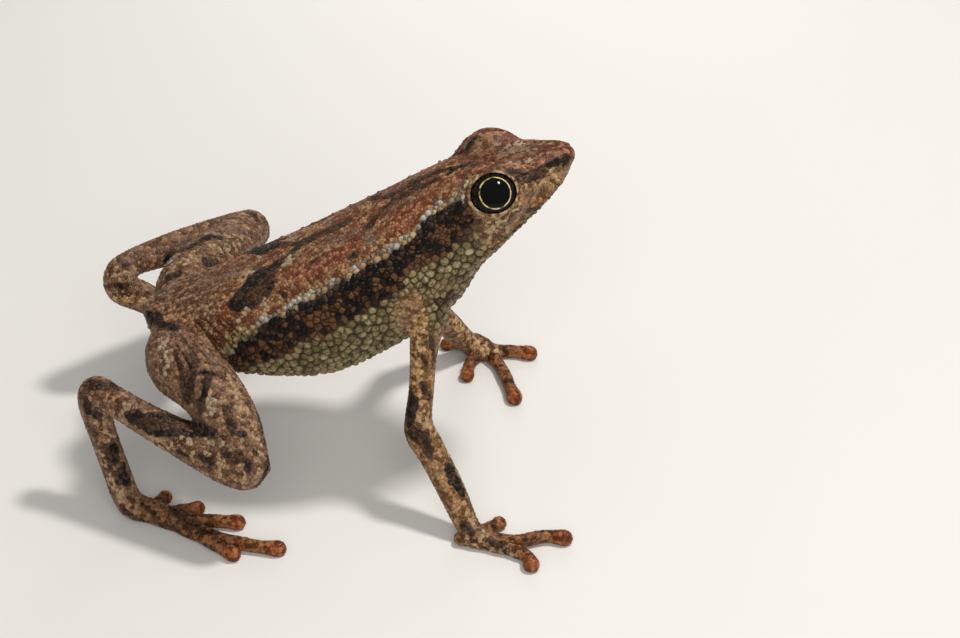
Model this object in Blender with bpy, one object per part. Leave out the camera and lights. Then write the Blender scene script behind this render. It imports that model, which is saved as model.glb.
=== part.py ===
"""A bromeliad toad, a still life-size model: it stands on four long thin legs with its head held high.

Shapes are modelled in millimetres and scaled to metres once, when each piece is finished. The animal
faces +X, its right side is at -Y, and it stands on the floor at z = 0. Head and trunk are described
upright, in the body's own frame, and then lean a little to the left. The animal is made whole and
parted with thin cuts at its joints.
"""
import math

import bmesh
import bpy
import numpy as np
from mathutils import Matrix, Vector
from mathutils.bvhtree import BVHTree
from mathutils.kdtree import KDTree

MM = 0.001

# Where the model's origin lies in the drawing's frame, under the middle of the whole animal.
ORIGIN = (-8.13, 0.68, 0.05)
BODY_LEAN = math.radians(5.0)
LEAN_HEIGHT = 10.0

# The gap between neighbouring nodes, and how fine the joined body is worked.
GAP = 0.3
GRAIN = 0.16
SLIVER = 0.004
BODY_TRIANGLES = 9500
SMALLEST_PIECE = 40
CREASE_ANGLE = math.radians(50)

# Creases are smoothed in full where the body is this wide, and least of all on parts that are thin.
SMOOTHING_ROUNDS = 30
THIN_WIDTH = 0.3
THICK_WIDTH = 1.7
LEAST_SMOOTHING = 0.06
HEAD_START = -0.8
HEAD_SOFTNESS = 0.8
TRUNK_SOFTNESS = 0.8

# The height of the floor in the drawing's frame, and the block that takes off what lies under it.
SOLE_DEPTH = 0.05
FLOOR_BLOCK = (60.0, 60.0, 10.0)
FLOOR_BLOCK_CENTRE = (-8.0, 0.0)

# Head and trunk from vent to snout. Each row: ahead, height, tilt of the section in degrees, half
# width, rise above and drop below the centre, how square the section is above and below (2 is round).
TRUNK = (
    (-17.80, 9.00, 8, 0.70, 0.50, 0.60, 2.0, 2.0),
    (-17.25, 8.75, 9, 1.70, 1.05, 1.25, 2.1, 2.0),
    (-15.90, 8.50, 11, 2.60, 1.75, 1.80, 2.5, 2.1),
    (-14.00, 8.50, 16, 3.20, 2.40, 2.40, 2.7, 2.2),
    (-11.60, 8.90, 22, 3.85, 2.95, 3.15, 2.7, 2.2),
    (-9.00, 9.60, 27, 4.50, 3.35, 3.60, 2.5, 2.2),
    (-6.30, 11.00, 28, 4.65, 3.35, 3.60, 2.4, 2.2),
    (-4.20, 12.40, 28, 4.30, 3.15, 3.65, 2.4, 2.2),
    (-2.40, 13.65, 27, 3.85, 3.00, 3.35, 2.5, 2.2),
    (-1.00, 14.70, 25, 3.50, 2.75, 2.50, 2.6, 2.2),
    (0.40, 15.70, 22, 3.40, 2.30, 2.10, 2.8, 2.4),
    (1.70, 16.50, 20, 2.85, 1.92, 1.65, 3.0, 2.5),
    (2.90, 17.20, 19, 2.10, 1.40, 1.30, 3.0, 2.6),
    (3.90, 17.88, 18, 1.40, 0.95, 0.90, 2.8, 2.4),
    (4.55, 18.32, 17, 0.85, 0.58, 0.55, 2.3, 2.2),
    (4.93, 18.52, 17, 0.30, 0.22, 0.22, 2.0, 2.0),
)
RINGS_PER_STATION = 6
POINTS_PER_RING = 40

EYE = (0.66, 2.38, 17.20)
EYE_RADIUS = 1.20
SOCKET_RADIUS = EYE_RADIUS + GAP - 0.02
LID_RADIUS = 1.58
LID_CENTRE = (0.62, 2.02, 17.14)
LID_RIM_RADIUS = 1.46
LID_RIM_THICKNESS = 0.27
LID_RIM_OUT = 0.22
EYE_AXIS = (0.12, 0.91, 0.40)

CANTHUS = (
    (1.55, 2.10, 17.82, 0.40), (2.50, 1.68, 18.06, 0.38), (3.35, 1.20, 18.26, 0.36),
    (4.05, 0.70, 18.40, 0.30),
)
NOSTRIL_BUMP = (4.25, 0.80, 18.20)
NOSTRIL_BUMP_RADIUS = 0.36
NOSTRIL = (4.37, 1.06, 18.26)
NOSTRIL_RADIUS = 0.17

# The line of the mouth, from its front under the snout to its corner: ahead and height.
MOUTH = (
    (4.42, 17.50), (3.95, 17.22), (3.40, 16.62), (2.60, 15.98), (1.80, 15.38), (0.90, 14.72),
    (0.10, 14.10), (-0.45, 13.68),
)
MOUTH_RAY_BACK = 1.5
MOUTH_GAP = 0.13
MOUTH_DEPTH = 0.36
MOUTH_SINK = 0.05
LIP_RADIUS = 0.24
LIP_SINK = 0.19
LIP_RISE = 0.30

# Limbs in the standing frame, as (ahead, left, height, radius) from root to end.
ARM_R = (
    (-2.50, -2.10, 12.60, 1.35), (-2.70, -3.00, 11.00, 1.05), (-2.95, -3.75, 9.00, 0.75),
    (-3.08, -4.45, 7.10, 0.67), (-3.25, -5.10, 5.50, 0.74), (-3.10, -5.40, 4.80, 0.85),
    (-2.42, -6.00, 3.80, 0.78), (-1.55, -6.95, 2.40, 0.75), (-0.90, -7.75, 1.20, 0.66),
    (-0.45, -8.30, 0.60, 0.58),
)
ARM_L = (
    (-2.50, 2.60, 12.00, 1.35), (-2.70, 3.20, 10.40, 1.05), (-2.85, 4.35, 8.60, 0.76),
    (-2.98, 5.30, 7.10, 0.68), (-3.05, 6.15, 5.80, 0.74), (-2.95, 6.50, 5.15, 0.84),
    (-2.40, 7.15, 4.05, 0.76), (-1.60, 7.95, 2.55, 0.72), (-0.90, 8.70, 1.25, 0.62),
    (-0.45, 9.05, 0.65, 0.56),
)
PALM_R = (
    (-1.02, -8.70, 0.42, 0.38), (-0.55, -8.60, 0.50, 0.60), (0.20, -8.80, 0.46, 0.60),
    (0.85, -9.05, 0.38, 0.44),
)
PALM_L = (
    (-0.95, 9.60, 0.42, 0.42), (-0.40, 9.25, 0.50, 0.70), (0.25, 8.75, 0.46, 0.66),
    (0.70, 8.40, 0.38, 0.48),
)
FINGERS_R = (
    (
        (0.10, -8.55, 0.42, 0.40), (0.95, -8.80, 0.40, 0.36), (2.15, -8.85, 0.40, 0.33),
        (3.45, -8.50, 0.42, 0.34), (4.45, -8.58, 0.36, 0.42),
    ),
    (
        (0.20, -9.00, 0.40, 0.40), (1.00, -9.35, 0.40, 0.36), (1.85, -9.75, 0.40, 0.33),
        (2.45, -10.15, 0.38, 0.34), (2.68, -10.85, 0.35, 0.42),
    ),
    (
        (-0.20, -8.40, 0.45, 0.38), (0.25, -8.00, 0.46, 0.34), (0.65, -7.65, 0.42, 0.32),
        (1.00, -7.30, 0.34, 0.38),
    ),
    (
        (-0.70, -8.35, 0.42, 0.36), (-0.75, -7.85, 0.38, 0.31), (-0.55, -7.35, 0.32, 0.35),
    ),
)
FINGERS_L = (
    (
        (0.30, 8.80, 0.42, 0.40), (1.00, 8.80, 0.40, 0.36), (1.80, 8.75, 0.40, 0.33),
        (2.80, 8.60, 0.36, 0.42),
    ),
    (
        (0.35, 8.60, 0.42, 0.40), (0.85, 7.90, 0.42, 0.36), (1.25, 6.90, 0.40, 0.33),
        (1.62, 5.45, 0.40, 0.34), (1.92, 4.25, 0.36, 0.42),
    ),
    (
        (0.00, 8.60, 0.42, 0.38), (-0.40, 7.95, 0.42, 0.34), (-0.62, 7.25, 0.40, 0.32),
        (-0.72, 6.45, 0.34, 0.38),
    ),
    (
        (-0.50, 9.20, 0.42, 0.36), (-1.20, 9.60, 0.38, 0.31), (-1.90, 9.55, 0.32, 0.35),
    ),
)
LEG_R = (
    (-15.60, -1.20, 8.50, 1.50), (-15.90, -3.30, 8.15, 1.82), (-14.25, -5.10, 7.60, 1.68),
    (-12.90, -7.00, 6.45, 1.52), (-12.20, -8.50, 5.45, 1.25), (-12.02, -8.85, 5.10, 1.15),
    (-12.90, -8.50, 5.05, 1.14), (-14.60, -7.45, 5.40, 1.10), (-17.00, -6.10, 5.90, 0.90),
    (-19.20, -4.75, 6.45, 0.80), (-20.20, -4.15, 6.65, 0.90), (-20.40, -4.25, 6.05, 0.86),
    (-20.05, -4.70, 4.70, 0.76), (-19.40, -5.40, 2.80, 0.74), (-18.75, -6.05, 1.10, 0.74),
    (-18.10, -6.35, 0.60, 0.70),
)
LEG_L = (
    (-15.60, 1.30, 8.30, 1.50), (-15.80, 3.30, 8.05, 1.85), (-14.95, 5.60, 8.10, 1.78),
    (-13.95, 8.00, 7.80, 1.48), (-12.95, 10.50, 7.35, 1.18), (-12.80, 10.90, 7.20, 1.12),
    (-13.50, 10.65, 7.20, 1.14), (-14.95, 9.70, 7.35, 1.08), (-17.00, 8.30, 7.60, 0.92),
    (-18.95, 6.95, 7.65, 0.76), (-19.75, 6.15, 7.40, 0.86), (-19.75, 5.95, 6.55, 0.88),
    (-18.70, 6.25, 5.80, 0.87), (-17.20, 7.00, 4.30, 0.77), (-15.70, 7.85, 2.85, 0.74),
    (-15.10, 8.20, 2.45, 0.72),
)
SOLE_R = (
    (-18.60, -6.05, 0.70, 0.72), (-17.50, -6.50, 0.58, 0.66), (-16.30, -7.10, 0.48, 0.62),
    (-15.30, -7.60, 0.42, 0.52),
)
SOLE_L = (
    (-15.40, 8.05, 2.65, 0.72), (-14.40, 8.60, 1.75, 0.66), (-13.50, 9.05, 1.00, 0.62),
    (-12.80, 9.40, 0.60, 0.50),
)
TOES_R = (
    (
        (-15.90, -7.30, 0.42, 0.42), (-14.50, -8.25, 0.40, 0.36), (-13.00, -8.95, 0.40, 0.34),
        (-11.70, -9.35, 0.40, 0.34), (-10.60, -9.50, 0.36, 0.42),
    ),
    (
        (-15.90, -7.60, 0.42, 0.40), (-14.90, -8.35, 0.40, 0.35), (-13.90, -9.20, 0.40, 0.33),
        (-12.95, -9.95, 0.36, 0.41),
    ),
    (
        (-16.00, -7.00, 0.42, 0.40), (-15.10, -7.05, 0.40, 0.35), (-13.90, -7.15, 0.40, 0.33),
        (-12.85, -7.22, 0.36, 0.41),
    ),
    (
        (-17.00, -6.55, 0.42, 0.38), (-16.10, -6.30, 0.40, 0.34), (-15.05, -5.98, 0.35, 0.39),
    ),
    (
        (-17.80, -6.20, 0.42, 0.36), (-17.20, -5.50, 0.38, 0.32), (-16.85, -4.95, 0.33, 0.36),
    ),
)
TOES_L = (
    (
        (-13.30, 9.15, 0.85, 0.42), (-12.20, 9.80, 0.45, 0.36), (-10.80, 10.60, 0.40, 0.34),
        (-9.60, 11.20, 0.40, 0.34), (-8.55, 11.65, 0.36, 0.42),
    ),
    (
        (-13.30, 9.35, 0.85, 0.40), (-12.50, 10.30, 0.45, 0.35), (-11.80, 11.30, 0.40, 0.33),
        (-11.20, 12.20, 0.36, 0.41),
    ),
    (
        (-13.20, 9.00, 0.85, 0.40), (-12.20, 9.20, 0.45, 0.35), (-11.00, 9.40, 0.40, 0.33),
        (-9.90, 9.55, 0.36, 0.41),
    ),
    (
        (-13.70, 8.80, 1.10, 0.38), (-12.80, 8.60, 0.50, 0.34), (-11.90, 8.30, 0.35, 0.39),
    ),
    (
        (-14.10, 8.60, 1.40, 0.36), (-13.55, 8.05, 0.65, 0.32), (-13.10, 7.60, 0.34, 0.36),
    ),
)

# The thin cuts between the nodes: centre, direction across the cut, and radius of the blade.
CUTS = (
    ("neck", (-1.55, 0.45, 14.00), (0.90, 0.02, 0.43), 6.2),
    ("shoulder_r", (-2.92, -3.70, 9.30), (-0.10, -0.35, -0.93), 1.25),
    ("elbow_r", (-3.20, -5.25, 5.11), (0.17, -0.41, -0.90), 1.5),
    ("wrist_r", (-0.80, -7.90, 1.00), (0.50, -0.58, -0.64), 1.1),
    ("shoulder_l", (-2.83, 4.20, 8.85), (-0.05, 0.55, -0.83), 1.3),
    ("elbow_l", (-3.05, 6.32, 5.48), (0.10, 0.50, -0.86), 1.5),
    ("wrist_l", (-0.80, 8.78, 1.06), (0.50, 0.45, -0.74), 1.1),
    ("hip_r", (-14.30, -5.15, 7.60), (0.47, -0.73, -0.50), 2.35),
    ("knee_r", (-13.45, -7.75, 5.58), (0.56, 0.51, 0.65), 3.55),
    ("ankle_r", (-20.20, -4.32, 6.15), (0.59, -0.17, 0.79), 1.8),
    ("sole_r", (-18.90, -5.92, 1.45), (0.36, -0.33, -0.87), 1.3),
    ("hip_l", (-15.15, 5.10, 8.10), (0.35, 0.92, -0.15), 2.3),
    ("knee_l", (-13.85, 9.70, 7.45), (0.72, -0.65, 0.22), 2.9),
    ("ankle_l", (-19.40, 6.35, 7.08), (0.20, 0.41, 0.89), 2.0),
    ("sole_l", (-15.45, 8.02, 2.75), (0.68, 0.34, -0.65), 1.4),
)

# What each node is called and a point that lies in it.
NODES = (
    ("head", (2.6, 0.7, 16.8)), ("torso", (-8.0, 0.0, 11.0)),
    ("upper_arm_r", (-3.1, -4.45, 7.1)), ("forearm_r", (-1.6, -6.95, 2.4)), ("hand_r", (0.2, -8.8, 0.46)),
    ("upper_arm_l", (-2.98, 5.3, 7.1)), ("forearm_l", (-1.6, 7.95, 2.55)), ("hand_l", (0.25, 8.75, 0.46)),
    ("thigh_r", (-13.2, -7.0, 6.5)), ("shank_r", (-17.0, -6.1, 5.9)),
    ("tarsus_r", (-19.7, -5.05, 3.7)), ("foot_r", (-16.3, -7.1, 0.48)),
    ("thigh_l", (-13.9, 8.0, 7.55)), ("shank_l", (-16.9, 8.2, 7.2)),
    ("tarsus_l", (-17.2, 7.15, 4.35)), ("foot_l", (-13.5, 9.05, 1.0)),
)

SKIN_BROWN = (0.235, 0.105, 0.055)
LIMB_TAN = (0.300, 0.150, 0.080)
DIGIT_RUST = (0.380, 0.120, 0.050)
EYE_BLACK = (0.008, 0.007, 0.006)
SKIN_ROUGHNESS = 0.55
EYE_ROUGHNESS = 0.08


def clear_scene():
    for thing in list(bpy.data.objects):
        bpy.data.objects.remove(thing, do_unlink=True)
    for mesh in list(bpy.data.meshes):
        bpy.data.meshes.remove(mesh)


def lean(point):
    """A point of the upright body, moved to where the leaning body has it."""
    x, y, z = point
    rise = z - LEAN_HEIGHT
    return Vector((
        x,
        y * math.cos(BODY_LEAN) + rise * math.sin(BODY_LEAN),
        LEAN_HEIGHT - y * math.sin(BODY_LEAN) + rise * math.cos(BODY_LEAN),
    ))


def lean_direction(direction):
    return lean(direction) - lean((0.0, 0.0, 0.0))


def mirrored(point, side):
    return (point[0], point[1] * side, point[2])


def smooth_rows(rows, steps):
    """The rows of a table with a smooth curve through each column, and steps rows for each old one."""
    table = np.array(rows, float)
    ends = np.vstack([2 * table[0] - table[1], table, 2 * table[-1] - table[-2]])
    out = []
    for i in range(len(table) - 1):
        a, b, c, d = ends[i : i + 4]
        for k in range(steps):
            t = k / steps
            bend = (2 * a - 5 * b + 4 * c - d) * t**2 + (3 * b - a - 3 * c + d) * t**3
            out.append(0.5 * (2 * b + (c - a) * t + bend))
    out.append(table[-1])
    return np.array(out)


def new_object(name, bm):
    mesh = bpy.data.meshes.new(name)
    bmesh.ops.recalc_face_normals(bm, faces=bm.faces)
    if bm.calc_volume(signed=True) < 0:
        bmesh.ops.reverse_faces(bm, faces=bm.faces)
    bm.to_mesh(mesh)
    bm.free()
    thing = bpy.data.objects.new(name, mesh)
    bpy.context.collection.objects.link(thing)
    return thing


def loft(name, rings):
    """A closed body through rings of equal count, with its two ends filled."""
    bm = bmesh.new()
    rows = [[bm.verts.new(p) for p in ring] for ring in rings]
    count = len(rows[0])
    for low, high in zip(rows, rows[1:]):
        for i in range(count):
            j = (i + 1) % count
            bm.faces.new((low[i], low[j], high[j], high[i]))
    bm.faces.new(rows[0][::-1])
    bm.faces.new(rows[-1])
    return new_object(name, bm)


def signed_power(value, power):
    return math.copysign(abs(value) ** power, value)


def trunk_ring(row):
    """One section of head or trunk, a rounded box, fuller above or below as the row says."""
    x, z, tilt, width, rise, drop, square_above, square_below = row
    tilt = math.radians(tilt)
    ring = []
    for i in range(POINTS_PER_RING):
        a = 2 * math.pi * i / POINTS_PER_RING
        above = math.sin(a) > 0
        power = 2 / (square_above if above else square_below)
        side = width * signed_power(math.cos(a), power)
        up = (rise if above else drop) * signed_power(math.sin(a), power)
        ring.append(lean((x - up * math.sin(tilt), side, z + up * math.cos(tilt))))
    return ring


def tube(name, rows, steps=4, sides=14):
    """A round limb along a smooth path of (x, y, z, radius), with rounded ends."""
    path = smooth_rows(rows, steps)
    points = [Vector(row[:3]) for row in path]
    radii = [float(row[3]) for row in path]
    start = (points[0] - points[1]).normalized()
    finish = (points[-1] - points[-2]).normalized()
    for turn in (30, 60, 82):
        reach, width = math.sin(math.radians(turn)), math.cos(math.radians(turn))
        points.insert(0, Vector(path[0][:3]) + start * reach * path[0][3])
        radii.insert(0, path[0][3] * width)
        points.append(Vector(path[-1][:3]) + finish * reach * path[-1][3])
        radii.append(path[-1][3] * width)
    side = start.orthogonal().normalized()
    rings = []
    for i, centre in enumerate(points):
        along = (points[min(i + 1, len(points) - 1)] - points[max(i - 1, 0)]).normalized()
        side = (side - along * side.dot(along)).normalized()
        up = along.cross(side)
        turns = (2 * math.pi * k / sides for k in range(sides))
        rings.append([centre + (side * math.cos(a) + up * math.sin(a)) * radii[i] for a in turns])
    return loft(name, rings)


def ball(name, centre, radius, detail=4):
    bm = bmesh.new()
    bmesh.ops.create_icosphere(bm, subdivisions=detail, radius=radius)
    bmesh.ops.translate(bm, verts=bm.verts, vec=Vector(centre))
    return new_object(name, bm)


def torus(name, centre, axis, radius, thickness):
    """A ring of round section about an axis."""
    turn = Vector(axis).to_track_quat("Z", "Y")
    rings = []
    for i in range(36):
        a = 2 * math.pi * i / 36
        out = Vector((math.cos(a), math.sin(a), 0))
        section = []
        for k in range(10):
            b = 2 * math.pi * k / 10
            local = out * (radius + thickness * math.cos(b)) + Vector((0, 0, thickness * math.sin(b)))
            section.append(Vector(centre) + turn @ local)
        rings.append(section)
    bm = bmesh.new()
    rows = [[bm.verts.new(p) for p in ring] for ring in rings]
    for i, low in enumerate(rows):
        high = rows[(i + 1) % len(rows)]
        for k in range(10):
            bm.faces.new((low[k], low[(k + 1) % 10], high[(k + 1) % 10], high[k]))
    return new_object(name, bm)


def blade(name, centre, direction, radius, thickness):
    """A thin disc that parts the body where it stands."""
    bm = bmesh.new()
    bmesh.ops.create_cone(bm, cap_ends=True, segments=32, radius1=radius, radius2=radius, depth=thickness)
    turn = Vector(direction).normalized().to_track_quat("Z", "Y").to_matrix().to_4x4()
    bmesh.ops.transform(bm, matrix=Matrix.Translation(Vector(centre)) @ turn, verts=bm.verts)
    return new_object(name, bm)


def apply_modifiers(thing):
    graph = bpy.context.evaluated_depsgraph_get()
    mesh = bpy.data.meshes.new_from_object(thing.evaluated_get(graph))
    old = thing.data
    thing.modifiers.clear()
    thing.data = mesh
    bpy.data.meshes.remove(old)


def boolean(base, others, operation):
    """Joins the others to the base, or cuts them from it, and removes them."""
    group = bpy.data.collections.new("others")
    bpy.context.scene.collection.children.link(group)
    for other in others:
        group.objects.link(other)
    change = base.modifiers.new("boolean", "BOOLEAN")
    change.operation = operation
    change.operand_type = "COLLECTION"
    change.collection = group
    change.solver = "MANIFOLD"
    apply_modifiers(base)
    for other in others:
        bpy.data.objects.remove(other, do_unlink=True)
    bpy.data.collections.remove(group)
    return base


def head_and_trunk():
    rows = smooth_rows(TRUNK, RINGS_PER_STATION)
    pieces = [loft("trunk", [trunk_ring(row) for row in rows])]
    lip = [p + mouth_normal() * LIP_RISE for p in mouth_path(pieces[0], LIP_SINK)]
    pieces.append(tube("lip", [(*p, LIP_RADIUS) for p in lip]))
    for side in (-1, 1):
        pieces.append(ball("lid", lean(mirrored(LID_CENTRE, side)), LID_RADIUS))
        axis = lean_direction(mirrored(EYE_AXIS, side))
        centre = lean(mirrored(EYE, side)) + axis * LID_RIM_OUT
        pieces.append(torus("lid_rim", centre, axis, LID_RIM_RADIUS, LID_RIM_THICKNESS))
        ridge = [(*lean((x, y * side, z)), r) for x, y, z, r in CANTHUS]
        pieces.append(tube("canthus", ridge))
        pieces.append(ball("nostril_bump", lean(mirrored(NOSTRIL_BUMP, side)), NOSTRIL_BUMP_RADIUS, 3))
    return pieces


def limbs():
    pieces = [tube("arm_r", ARM_R), tube("arm_l", ARM_L), tube("leg_r", LEG_R), tube("leg_l", LEG_L)]
    for name, sole in (("palm_r", PALM_R), ("palm_l", PALM_L), ("sole_r", SOLE_R), ("sole_l", SOLE_L)):
        pieces.append(tube(name, sole))
    for digits in (FINGERS_R, FINGERS_L, TOES_R, TOES_L):
        pieces += [tube("digit", digit, sides=12) for digit in digits]
    return pieces


def softness_tree():
    """Points along head, trunk and limbs with the width there, so that thick parts are smoothed more."""
    samples = []
    for x, z, _, width, rise, drop, _, _ in smooth_rows(TRUNK, 2):
        thick = HEAD_SOFTNESS if x > HEAD_START else min(width, rise + drop) * TRUNK_SOFTNESS
        samples += [(lean((x, width * across, z)), thick) for across in (-0.6, 0, 0.6)]
    digits = (*FINGERS_R, *FINGERS_L, *TOES_R, *TOES_L)
    for rows in (ARM_R, ARM_L, PALM_R, PALM_L, LEG_R, LEG_L, SOLE_R, SOLE_L, *digits):
        samples += [(Vector(row[:3]), float(row[3])) for row in smooth_rows(rows, 3)]
    tree = KDTree(len(samples))
    for i, (point, _) in enumerate(samples):
        tree.insert(point, i)
    tree.balance()
    return tree, [width for _, width in samples]


def soften(body, rounds):
    """Rounds the creases where pieces meet, most where the body is thick and hardly on the digits."""
    tree, widths = softness_tree()
    group = body.vertex_groups.new(name="softness")
    for vertex in body.data.vertices:
        _, index, _ = tree.find(vertex.co)
        weight = (widths[index] - THIN_WIDTH) / (THICK_WIDTH - THIN_WIDTH)
        weight = min(1.0, max(LEAST_SMOOTHING, weight))
        group.add([vertex.index], weight, "REPLACE")
    change = body.modifiers.new("soften", "SMOOTH")
    change.factor = 0.5
    change.iterations = rounds
    change.vertex_group = "softness"
    apply_modifiers(body)


def remesh(body, size):
    change = body.modifiers.new("remesh", "REMESH")
    change.mode = "VOXEL"
    change.voxel_size = size
    apply_modifiers(body)


def mouth_path(body, depth):
    """Points on the surface along the mouth, from its right corner round the snout to its left one."""
    graph = bpy.context.evaluated_depsgraph_get()
    surface = BVHTree.FromObject(body, graph)
    sides = []
    for side in (-1, 1):
        points = []
        for x, z in MOUTH[1:]:
            outward = lean_direction((0, side, 0))
            hit, _, _, _ = surface.ray_cast(lean((x, 0, z)), outward)
            points.append(hit - outward * depth)
        sides.append(points)
    forward = lean_direction((1, 0, 0))
    front, _, _, _ = surface.ray_cast(lean((MOUTH[0][0] - MOUTH_RAY_BACK, 0, MOUTH[0][1])), forward)
    return sides[0][::-1] + [front - forward * depth] + sides[1]


def mouth_normal():
    """The direction that points up and back, square to the mouth line."""
    front, corner = MOUTH[0], MOUTH[-1]
    return lean_direction((corner[1] - front[1], 0, front[0] - corner[0])).normalized()


def ribbon(name, points, normal, half_depth, half_height):
    """A flat strip of lens section swept along points that lie near one plane."""
    path = smooth_rows([tuple(p) for p in points], 2)
    rings = []
    for i, centre in enumerate(path):
        along = Vector(path[min(i + 1, len(path) - 1)] - path[max(i - 1, 0)]).normalized()
        out = along.cross(normal).normalized()
        up = out.cross(along)
        turns = (2 * math.pi * k / 8 for k in range(8))
        rings.append([
            Vector(centre) + out * half_depth * math.cos(a) + up * half_height * math.sin(a) for a in turns
        ])
    return loft(name, rings)


def carve_head(body):
    """Sockets, mouth line and nostrils."""
    cutters = []
    for side in (-1, 1):
        cutters.append(ball("socket", lean(mirrored(EYE, side)), SOCKET_RADIUS, 3))
        cutters.append(ball("nostril", lean(mirrored(NOSTRIL, side)), NOSTRIL_RADIUS, 2))
    cutters.append(ribbon("mouth", mouth_path(body, MOUTH_SINK), mouth_normal(), MOUTH_DEPTH, MOUTH_GAP))
    boolean(body, cutters, "DIFFERENCE")


def flatten_soles(body):
    """Takes off what lies under the floor, which leaves small flats under palms, soles and digits."""
    bm = bmesh.new()
    bmesh.ops.create_cube(bm, size=1.0)
    bmesh.ops.scale(bm, vec=FLOOR_BLOCK, verts=bm.verts)
    middle = (*FLOOR_BLOCK_CENTRE, SOLE_DEPTH - FLOOR_BLOCK[2] / 2)
    bmesh.ops.translate(bm, vec=middle, verts=bm.verts)
    boolean(body, [new_object("floor_cutter", bm)], "DIFFERENCE")


def islands(bm):
    """The separate closed surfaces of a mesh, each as a list of its faces."""
    seen = set()
    found = []
    for start in bm.faces:
        if start in seen:
            continue
        seen.add(start)
        island = [start]
        for face in island:
            for edge in face.edges:
                for other in edge.link_faces:
                    if other not in seen:
                        seen.add(other)
                        island.append(other)
        found.append(island)
    return found


def piece_near(bm, landmark):
    """The separate surface whose own faces come closest to the landmark."""
    def distance(island):
        return min((face.calc_center_median() - landmark).length for face in island)
    large = [island for island in islands(bm) if len(island) > SMALLEST_PIECE]
    return min(large, key=distance)


def material(name, colour, roughness):
    made = bpy.data.materials.new(name)
    made.use_nodes = True
    shader = made.node_tree.nodes["Principled BSDF"]
    shader.inputs["Base Color"].default_value = (*colour, 1.0)
    shader.inputs["Roughness"].default_value = roughness
    shader.inputs["Metallic"].default_value = 0.0
    made.diffuse_color = (*colour, 1.0)
    return made


def thin_out(body, triangles):
    """Leaves about this many triangles, most of them where the surface bends."""
    change = body.modifiers.new("thin_out", "DECIMATE")
    change.ratio = triangles / (2 * len(body.data.polygons))
    change.use_collapse_triangulate = True
    apply_modifiers(body)


def finish(thing, name, pivot, colour, roughness, parent):
    """Names a piece, puts its origin at its pivot, scales it to metres and gives it its material."""
    thing.name = name
    thing.data.name = name
    to_model = Matrix.Translation(-Vector(ORIGIN))
    thing.data.transform(Matrix.Translation(-Vector(pivot)))
    thing.data.transform(Matrix.Scale(MM, 4))
    thing.location = (to_model @ Vector(pivot)) * MM
    thing.parent = parent
    thing.data.materials.clear()
    thing.data.materials.append(material(name, colour, roughness))
    thing.data.shade_smooth()
    thing.data.set_sharp_from_angle(angle=CREASE_ANGLE)


def part_nodes(body, parent):
    """Cuts the whole body at its joints and makes each length an object of its own."""
    blades = [blade(name, centre, direction, radius, GAP) for name, centre, direction, radius in CUTS]
    boolean(body, blades, "DIFFERENCE")
    source = bmesh.new()
    source.from_mesh(body.data)
    bmesh.ops.remove_doubles(source, verts=source.verts, dist=SLIVER)
    bmesh.ops.dissolve_degenerate(source, edges=source.edges, dist=SLIVER)
    bmesh.ops.triangulate(source, faces=source.faces)
    source.faces.index_update()
    for name, landmark in NODES:
        keep = piece_near(source, Vector(landmark))
        kept = {face.index for face in keep}
        copy = source.copy()
        copy.faces.index_update()
        bmesh.ops.delete(copy, geom=[f for f in copy.faces if f.index not in kept], context="FACES")
        thing = new_object(name, copy)
        colour = SKIN_BROWN if name in ("head", "torso") else LIMB_TAN
        colour = DIGIT_RUST if name.startswith(("hand", "foot")) else colour
        finish(thing, name, landmark, colour, SKIN_ROUGHNESS, parent)
    source.free()
    bpy.data.objects.remove(body, do_unlink=True)


def eyes(parent):
    for name, side in (("eye_r", -1), ("eye_l", 1)):
        centre = lean(mirrored(EYE, side))
        finish(ball(name, centre, EYE_RADIUS, 3), name, centre, EYE_BLACK, EYE_ROUGHNESS, parent)


def main():
    clear_scene()
    parent = bpy.data.objects.new("toad", None)
    bpy.context.collection.objects.link(parent)
    pieces = head_and_trunk() + limbs()
    body = boolean(pieces[0], pieces[1:], "UNION")
    remesh(body, GRAIN)
    soften(body, SMOOTHING_ROUNDS)
    thin_out(body, BODY_TRIANGLES)
    carve_head(body)
    flatten_soles(body)
    part_nodes(body, parent)
    eyes(parent)


main()
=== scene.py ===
"""The looks of a still, life-size bromeliad toad: one skin of fine granules over the body, and two wet eyes.

The skin is shaped in millimetres, in the drawing's own frame, and set down in the model's frame in metres at
the end. Head and trunk are described upright, in the body's own frame, and then lean a little to the left.
The marks of the skin are strokes, placed where the photograph shows them and laid on the skin from there.
"""
import math

import bmesh
import bpy
import numpy as np
from mathutils import Matrix, Vector, noise
from mathutils.bvhtree import BVHTree
from mathutils.kdtree import KDTree


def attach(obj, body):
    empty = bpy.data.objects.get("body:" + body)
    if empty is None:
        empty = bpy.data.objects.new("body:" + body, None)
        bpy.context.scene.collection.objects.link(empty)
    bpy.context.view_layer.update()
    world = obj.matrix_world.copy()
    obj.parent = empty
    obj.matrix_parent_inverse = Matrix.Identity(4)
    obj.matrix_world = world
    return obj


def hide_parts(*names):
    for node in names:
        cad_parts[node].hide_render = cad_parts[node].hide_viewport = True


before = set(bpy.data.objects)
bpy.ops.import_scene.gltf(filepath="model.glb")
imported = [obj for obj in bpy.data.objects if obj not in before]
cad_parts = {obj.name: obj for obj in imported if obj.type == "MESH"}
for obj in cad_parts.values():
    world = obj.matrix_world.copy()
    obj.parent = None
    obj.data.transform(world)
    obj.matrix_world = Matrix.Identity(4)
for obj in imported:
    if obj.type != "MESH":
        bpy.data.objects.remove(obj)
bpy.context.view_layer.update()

MM = 0.001
SEED = 7

# Where the model's origin lies in the drawing's frame, under the middle of the whole animal.
ORIGIN = Vector((-8.13, 0.68, 0.05))
BODY_LEAN = math.radians(5.0)
LEAN_HEIGHT = 10.0
FLOOR_HEIGHT = 0.05

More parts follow.
